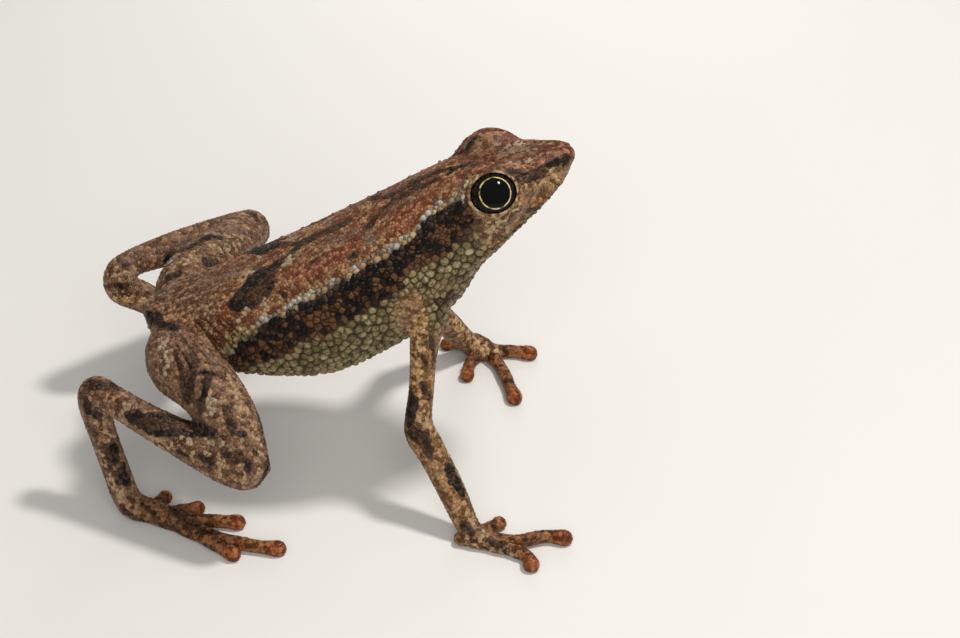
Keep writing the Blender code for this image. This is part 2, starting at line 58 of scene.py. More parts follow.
# How fine the skin is worked, and how much its creases are smoothed.
CAD_GRAIN = 0.16
CAD_SMOOTHING = 30
SMOOTHING_FACTOR, SMOOTHING_LEVELS = 0.5, 20
GRAIN = 0.05
THIN_WIDTH = 0.3
THICK_WIDTH = 1.7
LEAST_SMOOTHING = 0.06
HEAD_START = -0.8
HEAD_SOFTNESS = 0.8
TRUNK_SOFTNESS = 0.8

# Head and trunk from vent to snout. Each row: ahead, height, tilt of the section in degrees, half
# width, rise above and drop below the centre, how square the section is above and below (2 is round).
TRUNK = (
    (-17.8, 9.0, 8, 0.7, 0.5, 0.6, 2.0, 2.0),
    (-17.25, 8.75, 9, 1.7, 1.05, 1.25, 2.1, 2.0),
    (-15.9, 8.5, 11, 2.6, 1.75, 1.8, 2.5, 2.1),
    (-14.0, 8.5, 16, 3.2, 2.4, 2.4, 2.7, 2.2),
    (-11.6, 8.9, 22, 3.85, 2.95, 3.15, 2.7, 2.2),
    (-9.0, 9.6, 27, 4.5, 3.35, 3.6, 2.5, 2.2),
    (-6.3, 11.0, 28, 4.65, 3.35, 3.6, 2.4, 2.2),
    (-4.2, 12.4, 28, 4.3, 3.15, 3.65, 2.4, 2.2),
    (-2.4, 13.65, 27, 3.85, 3.0, 3.35, 2.5, 2.2),
    (-1.0, 14.7, 25, 3.5, 2.75, 2.5, 2.6, 2.2),
    (0.4, 15.7, 22, 3.4, 2.3, 2.1, 2.8, 2.4),
    (1.7, 16.5, 20, 2.85, 1.92, 1.65, 3.0, 2.5),
    (2.9, 17.2, 19, 2.1, 1.4, 1.3, 3.0, 2.6),
    (3.9, 17.88, 18, 1.4, 0.95, 0.9, 2.8, 2.4),
    (4.55, 18.32, 17, 0.85, 0.58, 0.55, 2.3, 2.2),
    (4.93, 18.52, 17, 0.3, 0.22, 0.22, 2.0, 2.0),
)
RINGS_PER_STATION = 6
POINTS_PER_RING = 40
TUBE_STEPS, LIMB_SIDES, DIGIT_SIDES = 4, 14, 12
BALL_DETAIL, BUMP_DETAIL, SOCKET_DETAIL = 4, 3, 5
# Where the body is sampled: steps for each row of a table, and how far to the side of the trunk.
SAMPLE_STEPS, PART_STEPS, TRUNK_SAMPLES = 2, 5, (-0.6, 0, 0.6)
# The turns in degrees at which the rings of a tube's round ends lie.
END_TURNS = (30, 60, 82)

CANTHUS = (
    (1.55, 2.1, 17.82, 0.4), (2.5, 1.68, 18.06, 0.38), (3.35, 1.2, 18.26, 0.36), (4.05, 0.7, 18.4, 0.3),
)
NOSTRIL_BUMP = (4.25, 0.8, 18.2)
NOSTRIL_BUMP_RADIUS = 0.36
NOSTRIL = (4.37, 1.06, 18.26)

# The line of the mouth, from its front under the snout to its corner: ahead and height.
MOUTH = (
    (4.42, 17.5), (3.95, 17.22), (3.4, 16.62), (2.6, 15.98), (1.8, 15.38), (0.9, 14.72), (0.1, 14.1),
    (-0.45, 13.68),
)
MOUTH_RAY_BACK = 1.5
LIP_RADIUS = 0.24
LIP_SINK = 0.19
LIP_RISE = 0.3

# Limbs in the standing frame, as (ahead, left, height, radius) from root to end.
ARM_R = (
    (-2.5, -2.1, 12.6, 1.35), (-2.7, -3.0, 11.0, 1.05), (-2.95, -3.75, 9.0, 0.75), (-3.08, -4.45, 7.1, 0.67),
    (-3.25, -5.1, 5.5, 0.74), (-3.1, -5.4, 4.8, 0.85), (-2.42, -6.0, 3.8, 0.78), (-1.55, -6.95, 2.4, 0.75),
    (-0.9, -7.75, 1.2, 0.66), (-0.45, -8.3, 0.6, 0.58),
)
ARM_L = (
    (-2.5, 2.6, 12.0, 1.35), (-2.7, 3.2, 10.4, 1.05), (-2.85, 4.35, 8.6, 0.76), (-2.98, 5.3, 7.1, 0.68),
    (-3.05, 6.15, 5.8, 0.74), (-2.95, 6.5, 5.15, 0.84), (-2.4, 7.15, 4.05, 0.76), (-1.6, 7.95, 2.55, 0.72),
    (-0.9, 8.7, 1.25, 0.62), (-0.45, 9.05, 0.65, 0.56),
)
PALM_R = (
    (-1.02, -8.7, 0.42, 0.38), (-0.55, -8.6, 0.5, 0.6), (0.2, -8.8, 0.46, 0.6), (0.85, -9.05, 0.38, 0.44),
)
PALM_L = ((-0.95, 9.6, 0.42, 0.42), (-0.4, 9.25, 0.5, 0.7), (0.25, 8.75, 0.46, 0.66), (0.7, 8.4, 0.38, 0.48))
FINGERS_R = (
    (
        (0.1, -8.55, 0.42, 0.4), (0.95, -8.8, 0.4, 0.36), (2.15, -8.85, 0.4, 0.33), (3.45, -8.5, 0.42, 0.34),
        (4.45, -8.58, 0.36, 0.42),
    ),
    (
        (0.2, -9.0, 0.4, 0.4), (1.0, -9.35, 0.4, 0.36), (1.85, -9.75, 0.4, 0.33), (2.45, -10.15, 0.38, 0.34),
        (2.68, -10.85, 0.35, 0.42),
    ),
    ((-0.2, -8.4, 0.45, 0.38), (0.25, -8.0, 0.46, 0.34), (0.65, -7.65, 0.42, 0.32), (1.0, -7.3, 0.34, 0.38)),
    ((-0.7, -8.35, 0.42, 0.36), (-0.75, -7.85, 0.38, 0.31), (-0.55, -7.35, 0.32, 0.35)),
)
FINGERS_L = (
    ((0.3, 8.8, 0.42, 0.4), (1.0, 8.8, 0.4, 0.36), (1.8, 8.75, 0.4, 0.33), (2.8, 8.6, 0.36, 0.42)),
    (
        (0.35, 8.6, 0.42, 0.4), (0.85, 7.9, 0.42, 0.36), (1.25, 6.9, 0.4, 0.33), (1.62, 5.45, 0.4, 0.34),
        (1.92, 4.25, 0.36, 0.42),
    ),
    ((0.0, 8.6, 0.42, 0.38), (-0.4, 7.95, 0.42, 0.34), (-0.62, 7.25, 0.4, 0.32), (-0.72, 6.45, 0.34, 0.38)),
    ((-0.5, 9.2, 0.42, 0.36), (-1.2, 9.6, 0.38, 0.31), (-1.9, 9.55, 0.32, 0.35)),
)
LEG_R = (
    (-15.6, -1.2, 8.5, 1.5), (-15.9, -3.3, 8.15, 1.82), (-14.25, -5.1, 7.6, 1.68), (-12.9, -7.0, 6.45, 1.52),
    (-12.2, -8.5, 5.45, 1.25), (-12.02, -8.85, 5.1, 1.15), (-12.9, -8.5, 5.05, 1.14),
    (-14.6, -7.45, 5.4, 1.1), (-17.0, -6.1, 5.9, 0.9), (-19.2, -4.75, 6.45, 0.8), (-20.2, -4.15, 6.65, 0.9),
    (-20.4, -4.25, 6.05, 0.86), (-20.05, -4.7, 4.7, 0.76), (-19.4, -5.4, 2.8, 0.74),
    (-18.75, -6.05, 1.1, 0.74), (-18.1, -6.35, 0.6, 0.7),
)
LEG_L = (
    (-15.6, 1.3, 8.3, 1.5), (-15.8, 3.3, 8.05, 1.85), (-14.95, 5.6, 8.1, 1.78), (-13.95, 8.0, 7.8, 1.48),
    (-12.95, 10.5, 7.35, 1.18), (-12.8, 10.9, 7.2, 1.12), (-13.5, 10.65, 7.2, 1.14),
    (-14.95, 9.7, 7.35, 1.08), (-17.0, 8.3, 7.6, 0.92), (-18.95, 6.95, 7.65, 0.76), (-19.75, 6.15, 7.4, 0.86),
    (-19.75, 5.95, 6.55, 0.88), (-18.7, 6.25, 5.8, 0.87), (-17.2, 7.0, 4.3, 0.77), (-15.7, 7.85, 2.85, 0.74),
    (-15.1, 8.2, 2.45, 0.72),
)
SOLE_R = (
    (-18.6, -6.05, 0.7, 0.72), (-17.5, -6.5, 0.58, 0.66), (-16.3, -7.1, 0.48, 0.62),
    (-15.3, -7.6, 0.42, 0.52),
)
SOLE_L = (
    (-15.4, 8.05, 2.65, 0.72), (-14.4, 8.6, 1.75, 0.66), (-13.5, 9.05, 1.0, 0.62), (-12.8, 9.4, 0.6, 0.5),
)
TOES_R = (
    (
        (-15.9, -7.3, 0.42, 0.42), (-14.5, -8.25, 0.4, 0.36), (-13.0, -8.95, 0.4, 0.34),
        (-11.7, -9.35, 0.4, 0.34), (-10.6, -9.5, 0.36, 0.42),
    ),
    (
        (-15.9, -7.6, 0.42, 0.4), (-14.9, -8.35, 0.4, 0.35), (-13.9, -9.2, 0.4, 0.33),
        (-12.95, -9.95, 0.36, 0.41),
    ),
    (
        (-16.0, -7.0, 0.42, 0.4), (-15.1, -7.05, 0.4, 0.35), (-13.9, -7.15, 0.4, 0.33),
        (-12.85, -7.22, 0.36, 0.41),
    ),
    ((-17.0, -6.55, 0.42, 0.38), (-16.1, -6.3, 0.4, 0.34), (-15.05, -5.98, 0.35, 0.39)),
    ((-17.8, -6.2, 0.42, 0.36), (-17.2, -5.5, 0.38, 0.32), (-16.85, -4.95, 0.33, 0.36)),
)
TOES_L = (
    (
        (-13.3, 9.15, 0.85, 0.42), (-12.2, 9.8, 0.45, 0.36), (-10.8, 10.6, 0.4, 0.34),
        (-9.6, 11.2, 0.4, 0.34), (-8.55, 11.65, 0.36, 0.42),
    ),
    (
        (-13.3, 9.35, 0.85, 0.4), (-12.5, 10.3, 0.45, 0.35), (-11.8, 11.3, 0.4, 0.33),
        (-11.2, 12.2, 0.36, 0.41),
    ),
    ((-13.2, 9.0, 0.85, 0.4), (-12.2, 9.2, 0.45, 0.35), (-11.0, 9.4, 0.4, 0.33), (-9.9, 9.55, 0.36, 0.41)),
    ((-13.7, 8.8, 1.1, 0.38), (-12.8, 8.6, 0.5, 0.34), (-11.9, 8.3, 0.35, 0.39)),
    ((-14.1, 8.6, 1.4, 0.36), (-13.55, 8.05, 0.65, 0.32), (-13.1, 7.6, 0.34, 0.36)),
)

# The parts of each limb: its rows of the tables above, from its root to its end.
LIMB_PARTS = {
    "arm_r": (ARM_R[:6],), "forearm_r": (ARM_R[5:],), "hand_r": (PALM_R,), "fingers_r": FINGERS_R,
    "arm_l": (ARM_L[:6],), "forearm_l": (ARM_L[5:],), "hand_l": (PALM_L,), "fingers_l": FINGERS_L,
    "thigh_r": (LEG_R[:6],), "shank_r": (LEG_R[5:11],), "tarsus_r": (LEG_R[10:],), "foot_r": (SOLE_R,),
    "toes_r": TOES_R, "thigh_l": (LEG_L[:6],), "shank_l": (LEG_L[5:11],), "tarsus_l": (LEG_L[10:],),
    "foot_l": (SOLE_L,), "toes_l": TOES_L,
}
PART_NAMES = ("trunk", *LIMB_PARTS)

# The place where the photograph was taken from: far off, looking along +Y and down on the animal.
CAMERA_AIM = Vector((0.0, 0.0, 8.5))
CAMERA_PITCH = math.radians(34.0)
CAMERA_FORWARD = Vector((0, math.cos(CAMERA_PITCH), -math.sin(CAMERA_PITCH)))
CAMERA_DISTANCE = 200.0
PHOTO_SIZE = (960, 638)
MM_PER_PIXEL = 0.0534
SENSOR_WIDTH = 36.0
NEAREST_SEEN = 0.01

# The edges of the flank's colours, as places in the photograph, from behind the eye to the groin.
PALE_LINE = (
    (462, 197), (448, 201), (434, 210), (421, 222), (409, 236), (396, 246), (380, 254), (363, 264),
    (345, 276), (325, 287), (305, 298), (285, 310), (268, 318), (254, 329), (240, 342), (232, 352),
)
BAND_EDGE = (
    (478, 222), (462, 240), (445, 256), (425, 264), (408, 276), (398, 290), (380, 301), (363, 312),
    (347, 326), (325, 335), (305, 341), (290, 352), (272, 361), (250, 370), (238, 374),
)

# The marks of the skin. Each stroke: its colour, half its width in millimetres, and its places in the
# photograph's frame. Those of head and trunk are laid on both sides of the body. Most are the skin's own
# colours; the light sand strokes are painted light, one pale stroke on the nostril is a painted highlight,
# and the black strokes under the rump are painted shadow.
BACK_STROKES = (
    ("black", 0.21, ((353, 237), (360, 233), (372, 225))),
    ("brown", 0.26, ((366, 229), (377, 217), (385, 208), (393, 201), (404, 195), (420, 187), (436, 180))),
    ("brown", 0.16, ((452, 168), (436, 172), (418, 178), (400, 187), (384, 193), (362, 200))),
    ("brown", 0.52, ((268, 275), (256, 288), (246, 299))),
    ("black", 0.34, ((283, 259), (272, 268), (260, 277), (250, 288), (241, 299))),
    ("black", 0.2, (
        (262, 268), (250, 281), (240, 292), (231, 303), (238, 309), (252, 305), (265, 297), (272, 283),
    )),
    ("brown", 0.24, ((262, 284), (253, 294))),
    ("brown", 0.22, ((300, 246), (292, 252), (283, 259))),
    ("brown", 0.3, ((346, 223), (330, 229), (314, 238), (300, 246))),
    ("black", 0.14, ((300, 238), (284, 239), (268, 241), (254, 246), (245, 251))),
    ("pale", 0.22, ((291, 257), (286, 265))),
    ("pale", 0.17, ((256, 268), (247, 274))),
    ("pale", 0.15, ((264, 301), (261, 306))),
    ("pale", 0.22, ((258, 322), (252, 328))),
    ("cream", 0.4, ((243, 334), (232, 342), (222, 348))),
    ("pale", 0.22, ((240, 318), (246, 312))),
    ("grey", 0.5, ((245, 262), (222, 276), (205, 290))),
    ("grey", 0.4, ((330, 240), (352, 236), (372, 238))),
    ("grey", 0.35, ((385, 214), (400, 206), (412, 200))),
    ("red", 0.42, ((396, 219), (416, 207))),
    ("red", 0.52, ((352, 250), (330, 259), (302, 275))),
    ("brown", 0.13, ((348, 258), (356, 254))),
    ("brown", 0.12, ((312, 262), (322, 256))),
    ("brown", 0.13, ((276, 290), (286, 296))),
    # Painted shadow: the dark hollow under the rump, laid on as a black stroke.
    ("black", 0.3, ((148, 316), (160, 320), (172, 326))),
)
HEAD_STROKES = (
    ("black", 0.14, ((467, 149), (473, 141), (479, 130))),
    ("black", 0.12, ((455, 155), (467, 151))),
    ("black", 0.13, ((449, 169), (463, 167))),
    ("black", 0.1, ((471, 166), (479, 163))),
    ("rust", 0.5, ((484, 130), (494, 130), (504, 136))),
    ("red", 0.12, ((488, 134), (497, 133))),
    ("rust", 0.22, ((462, 177), (474, 168), (488, 161), (502, 162))),
    ("orange", 0.1, ((468, 176), (476, 169), (488, 164), (501, 166), (510, 168))),
    ("orange", 0.1, ((514, 170), (530, 167), (540, 163), (551, 158))),
    ("pale", 0.1, ((507, 163), (518, 165), (529, 161))),
    ("pale", 0.1, ((538, 156), (548, 153))),
    ("grey", 0.28, ((500, 152), (518, 150), (534, 148))),
    ("black", 0.07, ((480, 171), (490, 167), (501, 167), (511, 172), (517, 181), (519, 190))),
    ("brown", 0.2, ((518, 172), (530, 173), (545, 168))),
    ("black", 0.13, ((513, 171), (526, 173), (541, 168), (553, 163))),
    ("black", 0.2, ((552, 163), (562, 160), (568, 158))),
    ("brown", 0.2, ((518, 180), (530, 178), (544, 173))),
    ("red", 0.22, ((561, 144), (569, 148), (573, 154))),
    ("orange", 0.14, ((519, 200), (533, 200), (546, 199), (557, 187), (563, 176))),
    ("black", 0.09, ((521, 213), (530, 209), (539, 204))),
    # Painted highlight: a glint on the wet nostril, laid on as a pale dot.
    ("pale", 0.06, ((560, 160), (562, 162))),
    ("brown", 0.1, ((531, 191), (541, 192))),
    ("grey", 0.16, ((527, 196), (536, 195))),
    ("cream", 0.16, ((514, 214), (506, 222), (500, 227))),
    ("cream", 0.18, ((494, 229), (488, 236))),
    ("cream", 0.22, ((473, 182), (464, 188), (458, 196))),
    ("cream", 0.17, ((476, 176), (470, 183))),
    ("cream", 0.12, ((478, 221), (490, 224), (502, 222), (512, 214), (518, 204))),
    ("tan", 0.34, ((520, 212), (506, 226), (490, 240))),
    ("orange", 0.09, ((566, 170), (563, 182), (556, 192), (546, 201), (534, 205))),
    ("brown", 0.16, ((480, 222), (472, 232), (462, 240))),
    ("cream", 0.24, ((474, 252), (463, 258), (450, 266))),
    ("orange", 0.1, ((479, 261), (483, 260))),
    ("brown", 0.16, ((440, 303), (449, 296), (462, 298))),
)
ARM_STROKES = (
    # Painted light: a light sand stroke down the upper arm.
    ("painted_light_sand", 0.55, ((413, 316), (417, 336), (416, 356), (413, 376))),
    ("black", 0.13, ((430, 336), (433, 347), (434, 358))),
    ("brown", 0.16, ((424, 384), (429, 397))),
    ("black", 0.16, ((410, 388), (411, 398))),
    ("black", 0.36, ((411, 400), (411, 412), (409, 421))),
    ("brown", 0.3, ((414, 432), (424, 438))),
    ("brown", 0.16, ((404, 423), (405, 432), (416, 436), (428, 434))),
    ("brown", 0.26, ((424, 444), (430, 454))),
    ("black", 0.31, ((450, 467), (455, 480), (461, 492))),
    ("brown", 0.12, ((432, 484), (440, 500), (448, 516))),
    ("tan", 0.3, ((466, 520), (478, 533), (492, 544), (508, 552))),
    ("painted_light_sand", 0.05, ((462, 538), (476, 547), (492, 551), (508, 556))),
    ("brown", 0.18, ((463, 524), (474, 533))),
    ("brown", 0.16, ((490, 540), (500, 545))),
    ("brown", 0.1, ((422, 356), (426, 370))),
    ("pale", 0.12, ((420, 420), (426, 425))),
)
THIGH_STROKES = (
    # Painted shadow: the dark hollow under the rump, laid on as a black stroke.
    ("black", 0.3, ((150, 320), (162, 324), (174, 328))),
    ("black", 0.22, ((208, 374), (206, 386), (203, 398), (201, 410))),
    ("black", 0.14, ((211, 371), (202, 372))),
    ("brown", 0.3, ((193, 362), (190, 380), (188, 400))),
    ("brown", 0.14, ((177, 350), (179, 370), (184, 392))),
    ("pale", 0.24, ((161, 342), (164, 356), (167, 372))),
    ("pale", 0.26, ((212, 398), (208, 410))),
    ("grey", 0.4, ((222, 372), (232, 388), (240, 404))),
    ("brown", 0.2, ((228, 408), (229, 420), (234, 430))),
    ("tan", 0.34, ((228, 378), (238, 398), (249, 420), (258, 444), (262, 466))),
    ("tan", 0.4, ((236, 466), (250, 478))),
    ("black", 0.1, ((243, 374), (251, 394), (259, 418), (265, 442), (268, 462))),
    ("black", 0.16, ((268, 464), (265, 476), (257, 486))),
    ("black", 0.15, ((242, 434), (249, 444))),
    ("black", 0.16, ((247, 461), (248, 473))),
    ("black", 0.11, ((255, 452), (259, 458))),
    ("brown", 0.13, ((240, 452), (236, 462))),
)
SHANK_STROKES = (
    ("pale", 0.16, ((112, 374), (128, 384), (150, 400), (172, 410), (188, 419))),
    ("brown", 0.3, ((88, 384), (100, 386), (114, 386))),
    ("tan", 0.4, ((150, 442), (180, 450), (212, 462), (240, 478))),
    ("brown", 0.48, ((138, 420), (156, 424), (178, 427), (200, 430))),
    ("black", 0.17, ((129, 418), (137, 414), (152, 415), (168, 417), (184, 421), (198, 426), (213, 431))),
    ("black", 0.2, ((129, 419), (140, 425), (152, 431), (172, 433), (194, 433), (213, 434))),
    ("pale", 0.18, ((120, 405), (134, 406))),
    ("pale", 0.16, ((182, 438), (188, 445))),
    ("pale", 0.16, ((208, 440), (220, 444))),
    ("black", 0.13, ((178, 451), (186, 456))),
    ("brown", 0.18, ((200, 456), (212, 462))),
    ("black", 0.15, ((219, 451), (228, 456))),
    ("black", 0.14, ((224, 484), (236, 491), (250, 492))),
)
FOOT_STROKES = (
    ("black", 0.18, ((86, 398), (88, 410), (98, 416))),
    ("pale", 0.2, ((103, 428), (108, 438))),
    ("tan", 0.2, ((100, 424), (106, 440), (106, 466), (118, 494))),
    ("black", 0.34, ((113, 450), (119, 465), (125, 480))),
    ("grey", 0.12, ((118, 457), (120, 464))),
    ("black", 0.12, ((143, 506), (154, 513))),
    ("black", 0.14, ((170, 505), (180, 517))),
    ("brown", 0.14, ((122, 508), (132, 517), (142, 520))),
    ("brown", 0.14, ((186, 520), (200, 530), (214, 534))),
    ("brown", 0.1, ((150, 520), (166, 527))),
    ("brown", 0.1, ((106, 446), (110, 466), (118, 486))),
)
FAR_LEG_STROKES = (
    ("black", 0.22, ((166, 258), (180, 251), (196, 244), (210, 236), (224, 239))),
    ("black", 0.2, ((118, 264), (130, 266))),
    ("black", 0.16, ((118, 285), (128, 285))),
    ("black", 0.22, ((168, 278), (178, 274))),
    ("pale", 0.3, ((172, 262), (188, 260))),
    # Painted light: a light sand stroke on the far heel.
    ("painted_light_sand", 0.34, ((114, 297), (126, 300), (140, 300))),
    ("pale", 0.3, ((128, 246), (150, 238), (176, 228), (204, 219))),
    ("tan", 0.3, ((112, 262), (120, 274), (134, 272))),
    ("tan", 0.34, ((176, 264), (200, 254), (226, 246), (246, 232))),
    ("grey", 0.4, ((218, 228), (240, 230))),
    ("pale", 0.22, ((222, 250), (228, 252))),
    ("brown", 0.26, ((205, 262), (222, 266))),
    ("brown", 0.2, ((250, 213), (258, 220))),
)
FAR_ARM_STROKES = (
    # Painted light: light sand strokes on the far forearm and hand.
    ("painted_light_sand", 0.3, ((456, 324), (464, 334), (474, 344), (486, 350))),
    ("painted_light_sand", 0.12, ((498, 353), (512, 352))),
)

# The eyes. The lids keep the skin this far from an eye's middle, and open in an oval this wide and high.
EYE = (0.66, 2.33, 17.17)
LID_CENTRE = (0.62, 2.02, 17.14)
LID_RADIUS = 1.58
EYEBALL_RADIUS = 1.4
SOCKET_RADIUS = 1.43
LID_REACH = 1.49
LID_EASE = 0.03
SKIRT_HEIGHT, SKIRT_SLOPE, SKIRT_BEND, SKIRT_EASE = 0.86, 0.4, 0.35, 0.05
SKIRT_NEAR, SKIRT_FAR = 0.3, 1.2
NOWHERE = 9.0
OPENING_AXIS = (0.04, 0.83, 0.55)
OPENING = (1.22, 1.07)
OPENING_DEPTH = 2.4
HEAD_TILT = math.radians(18.0)
RIM_OFFSET, RIM_WIDTH, RIM_RISE = 0.09, 0.07, 0.06
RIM_BAND, RIM_EDGE = 0.09, (-0.05, 0.05)
SOCKET_EDGE, LID_EDGE, LID_FRONT = (0.02, 0.06), (0.02, 0.2), (-0.5, 0.0)
CREASE_OFFSET, CREASE_DEEP = 0.27, 0.04
EYE_RINGS, EYE_SIDES = 72, 96
CORNEA_RISE, CORNEA_ANGLE = 0.02, 0.7
LOOK = (0.1, 0.84, 0.55)
RING_INNER, RING_OUTER, IRIS_EDGE = (0.765, 0.805), (0.815, 0.865), (0.835, 1.2)

# The granules: how far apart they lie in millimetres, and how high they stand for their size.
BACK_GRANULES, HEAD_GRANULES, NECK_GRANULES = (0.145, 0.44), (0.13, 0.34), (0.16, 0.65)
LINE_GRANULES, BAND_GRANULES, BELLY_GRANULES = (0.25, 0.65), (0.24, 0.65), (0.33, 0.55)
THROAT_GRANULES, LIMB_GRANULES, LEG_GRANULES = (0.22, 0.45), (0.145, 0.42), (0.165, 0.48)
FOOT_GRANULES, DIGIT_GRANULES = (0.17, 0.38), (0.15, 0.25)
FINEST_GRANULE = 0.12
UNEVEN, HEIGHTS = (0.85, 1.2), (0.45, 1.15)
NEIGHBOURS, SEED_BLUR, COARSE = 3, 0.02, (0.19, 0.25)
DOME_REACH, PEBBLE_RADIUS, PEBBLE_SHARE = 0.8, 0.7, 0.75
GROOVE_WIDTH, PEBBLE_GROOVE = 0.55, 0.32
WART_SPACING, WART_WIDTH, WART_RISE, FEWER_WARTS = 0.95, 0.15, 0.07, 0.8
KNOBS, KNOB_RISE = 2.5, 0.045

# Where the zones of the skin begin and end: in millimetres, along the trunk in rows of its table, or as the
# share of a direction. Waves that make an edge uneven: their scale, their shift and their height.
TINY, LEAST_OUT = 1e-9, 1e-6
LIMB_EDGE = (-0.35, 0.35)
LINE_WIDTH, LINE_EDGE, LINE_LAP = 0.21, (-0.06, 0.06), 0.8
UNDER_LINE, LINE_LOW = (-0.08, 0.08), (-0.12, 0.02)
LINE_WAVES = ((1.1, 0.0, 0.1), (3.0, 2.0, 0.06))
BAND_WAVES = ((0.8, 7.0, 0.3), (2.4, 3.0, 0.16))
FLANK_START, FLANK_END = (-0.6, 0.2), (-0.05, 0.25)
BAND_TOP, BAND_TOP_EDGE, BAND_LOW = 0.7, (-0.12, 0.12), (-0.15, 0.15)
HEAD_EDGE, NECK_EDGE, RUMP_EDGE = (-0.2, 0.3), (-2.6, -0.8), (-1.4, 0.9)
CHIN, SHOULDER_START, SHOULDER_TOP = (-0.1, 0.15), (9.5, 10.5), (-2.6, -0.6)
ARM_ROOT = (9.6, 11.0)
OVER_ARM = ((410, 306), (414, 322), (418, 340))
OVER_ARM_REACH = (0.3, 1.2)
CHEEK_TURN = (30, 38)
UNDERSIDE, UNSEEN = (-0.2, 0.6), (-0.25, 0.05)

# How softly the marks of each colour go over into the skin around them, in millimetres.
SOFT_MARKS = {"red": 0.42, "tan": 0.4, "grey": 0.28, "painted_light_sand": 0.32, "rust": 0.25}
MARK_EDGE, MARK_SWELL, MARK_JITTER, FAR_SIDE = 0.13, 0.03, 0.05, 0.3
MARK_WAVES = ((2.2, 5.0, 0.1),)
# Blotches out of the photograph's sight: colour, sign and edge of the waves that they follow, and strength.
BLOTCH_WAVES = ((0.75, 11.0, 1.0), (2.0, 13.0, 0.5))
BLOTCHES = (("pale", -1, (0.16, 0.26), 0.6), ("brown", 1, (0.14, 0.22), 1.0), ("black", 1, (0.3, 0.38), 1.0))
# How far apart strokes and fine lines are sampled, in pixels of the photograph's frame.
STROKE_STEP, LINE_STEP = 3.0, 1.0

MOUTH_WIDTH, MOUTH_DEEP, MOUTH_STEPS = 0.075, 0.14, 20
LIP_OFFSET, LIP_WIDTH, LIP_SWELL = 0.22, 0.11, 0.08
NOSTRIL_WIDTH, NOSTRIL_DEEP, NOSTRIL_SWELL = 0.12, 0.17, 0.03
NOSTRIL_OFFSET, NOSTRIL_RING = 0.26, 0.1

# Lines of the right side in the photograph's frame: the sharp ridge from eye to nostril, the hollow under it,
# and the folds of skin before the thigh.
SNOUT_RIDGE = ((507, 167), (518, 168), (532, 164), (546, 158), (558, 153), (568, 152))
SNOUT_HOLLOW = ((520, 177), (532, 174), (545, 168), (556, 164))
RIDGE_WIDTH, RIDGE_RISE = 0.14, 0.09
HOLLOW_WIDTH, HOLLOW_DEEP = 0.2, 0.09
FOLDS = (
    ((180, 334), (190, 347), (199, 361)), ((188, 326), (200, 339), (213, 354)),
    ((196, 322), (211, 337), (226, 353)), ((205, 320), (221, 335), (235, 350)),
    ((215, 319), (229, 331), (243, 343)), ((203, 330), (214, 344), (222, 358)),
    ((226, 322), (238, 332), (248, 340)), ((176, 344), (184, 356), (190, 368)),
    ((213, 328), (226, 341), (236, 354)), ((190, 336), (199, 348), (208, 360)),
    ((205, 362), (220, 365), (234, 371)), ((200, 372), (214, 374), (228, 380)),
)
FOLD_WIDTH, FOLD_DEEP = 0.065, 0.1

# Swellings of the skin at places in the photograph's frame, on both sides of the body: width and height.
BULGES = (
    ((556, 180), 0.42, 0.26), ((549, 192), 0.34, 0.16), ((562, 171), 0.26, 0.12), ((562, 143), 0.35, 0.06),
    ((558, 158), 0.26, 0.07), ((492, 130), 0.6, 0.08),
)

# The shares of the skin's zones that its colours are mixed by.
ZONE_LAYERS = (
    "limb", "leg", "line", "band", "band_top", "line_low", "belly", "shoulder", "head", "cheek", "rump",
    "digit", "tip", "foot", "under",
)

# How the colours of the skin are mixed: the sizes of its clouds in millimetres, and how much they sway the
# edges of patches and the lightness of each grain.
SKIN_CLOUDS, CLOUD_DETAIL = (2.2, 0.7, 0.26, 0.1), 3.0
EDGE_SPECK, EDGE_FINE, EDGE_TONE = 0.9, 0.7, 0.4
GRAIN_FINE, GRAIN_SPECK, GRAIN_TONE = 2.4, 1.1, 1.5
DARK_GRAINS, LIGHT_GRAINS = (-0.05, 0.45), (0.55, 1.05)
# From which number to which each kind of patch or grain goes over from none to all.
BACK_PATCHES, BROWN_PATCHES, HEAD_PATCHES = (0.4, 0.54), (0.56, 0.64), (0.42, 0.58)
LIGHT_PATCHES, EVEN_PATCHES, LEG_PATCHES = (0.5, 0.62), (0.44, 0.58), (0.42, 0.56)
DIGIT_PATCHES, TIP_PATCH, TIP_LIFT = (0.54, 0.7), (0.82, 0.96), 0.3
ORANGE_FLECKS, PALE_FLECKS = (0.88, 0.96), (0.08, 0.04)
BELLY_GRAINS, SHOULDER_GRAINS, BAND_GRAINS = (0.35, 0.75), (0.15, 0.55), (0.2, 0.7)
RAGGED_EDGE, PATCH_ROUGHNESS, HEAD_ROUGHNESS = (0.36, 0.64), 0.5, 0.4
LEG_SWAY, BELLY_SWAY, BAND_SWAY = 0.5, 1.5, 1.2
BROKEN_TONE, BROKEN_FINE, BROKEN_SPECK, BROKEN_DOWN = 0.8, 1.2, 0.8, 0.9
BROWN_STRENGTH, RUMP_STRENGTH, ARM_STRENGTH, UNDER_STRENGTH = 0.75, 0.85, 0.6, 0.5
# How strong the black top of the band and the cream rims of the lids are, and how far the gaps between the
# granules of belly and band go black: partly the skin's own dark net, partly painted shade in the gaps.
BAND_TOP_STRENGTH, RIM_STRENGTH, NET_AND_SHADE_STRENGTH = 0.9, 0.85, 0.85
# How dark the painted shade in the grooves between granules is, how much less of it there is on limbs and
# head, and how dark the painted shade in the folds of skin is.
GROOVE_PAINTED_SHADE, FINE_SKIN_LESS_SHADE, FOLD_PAINTED_SHADE = 0.62, 0.27, 0.8
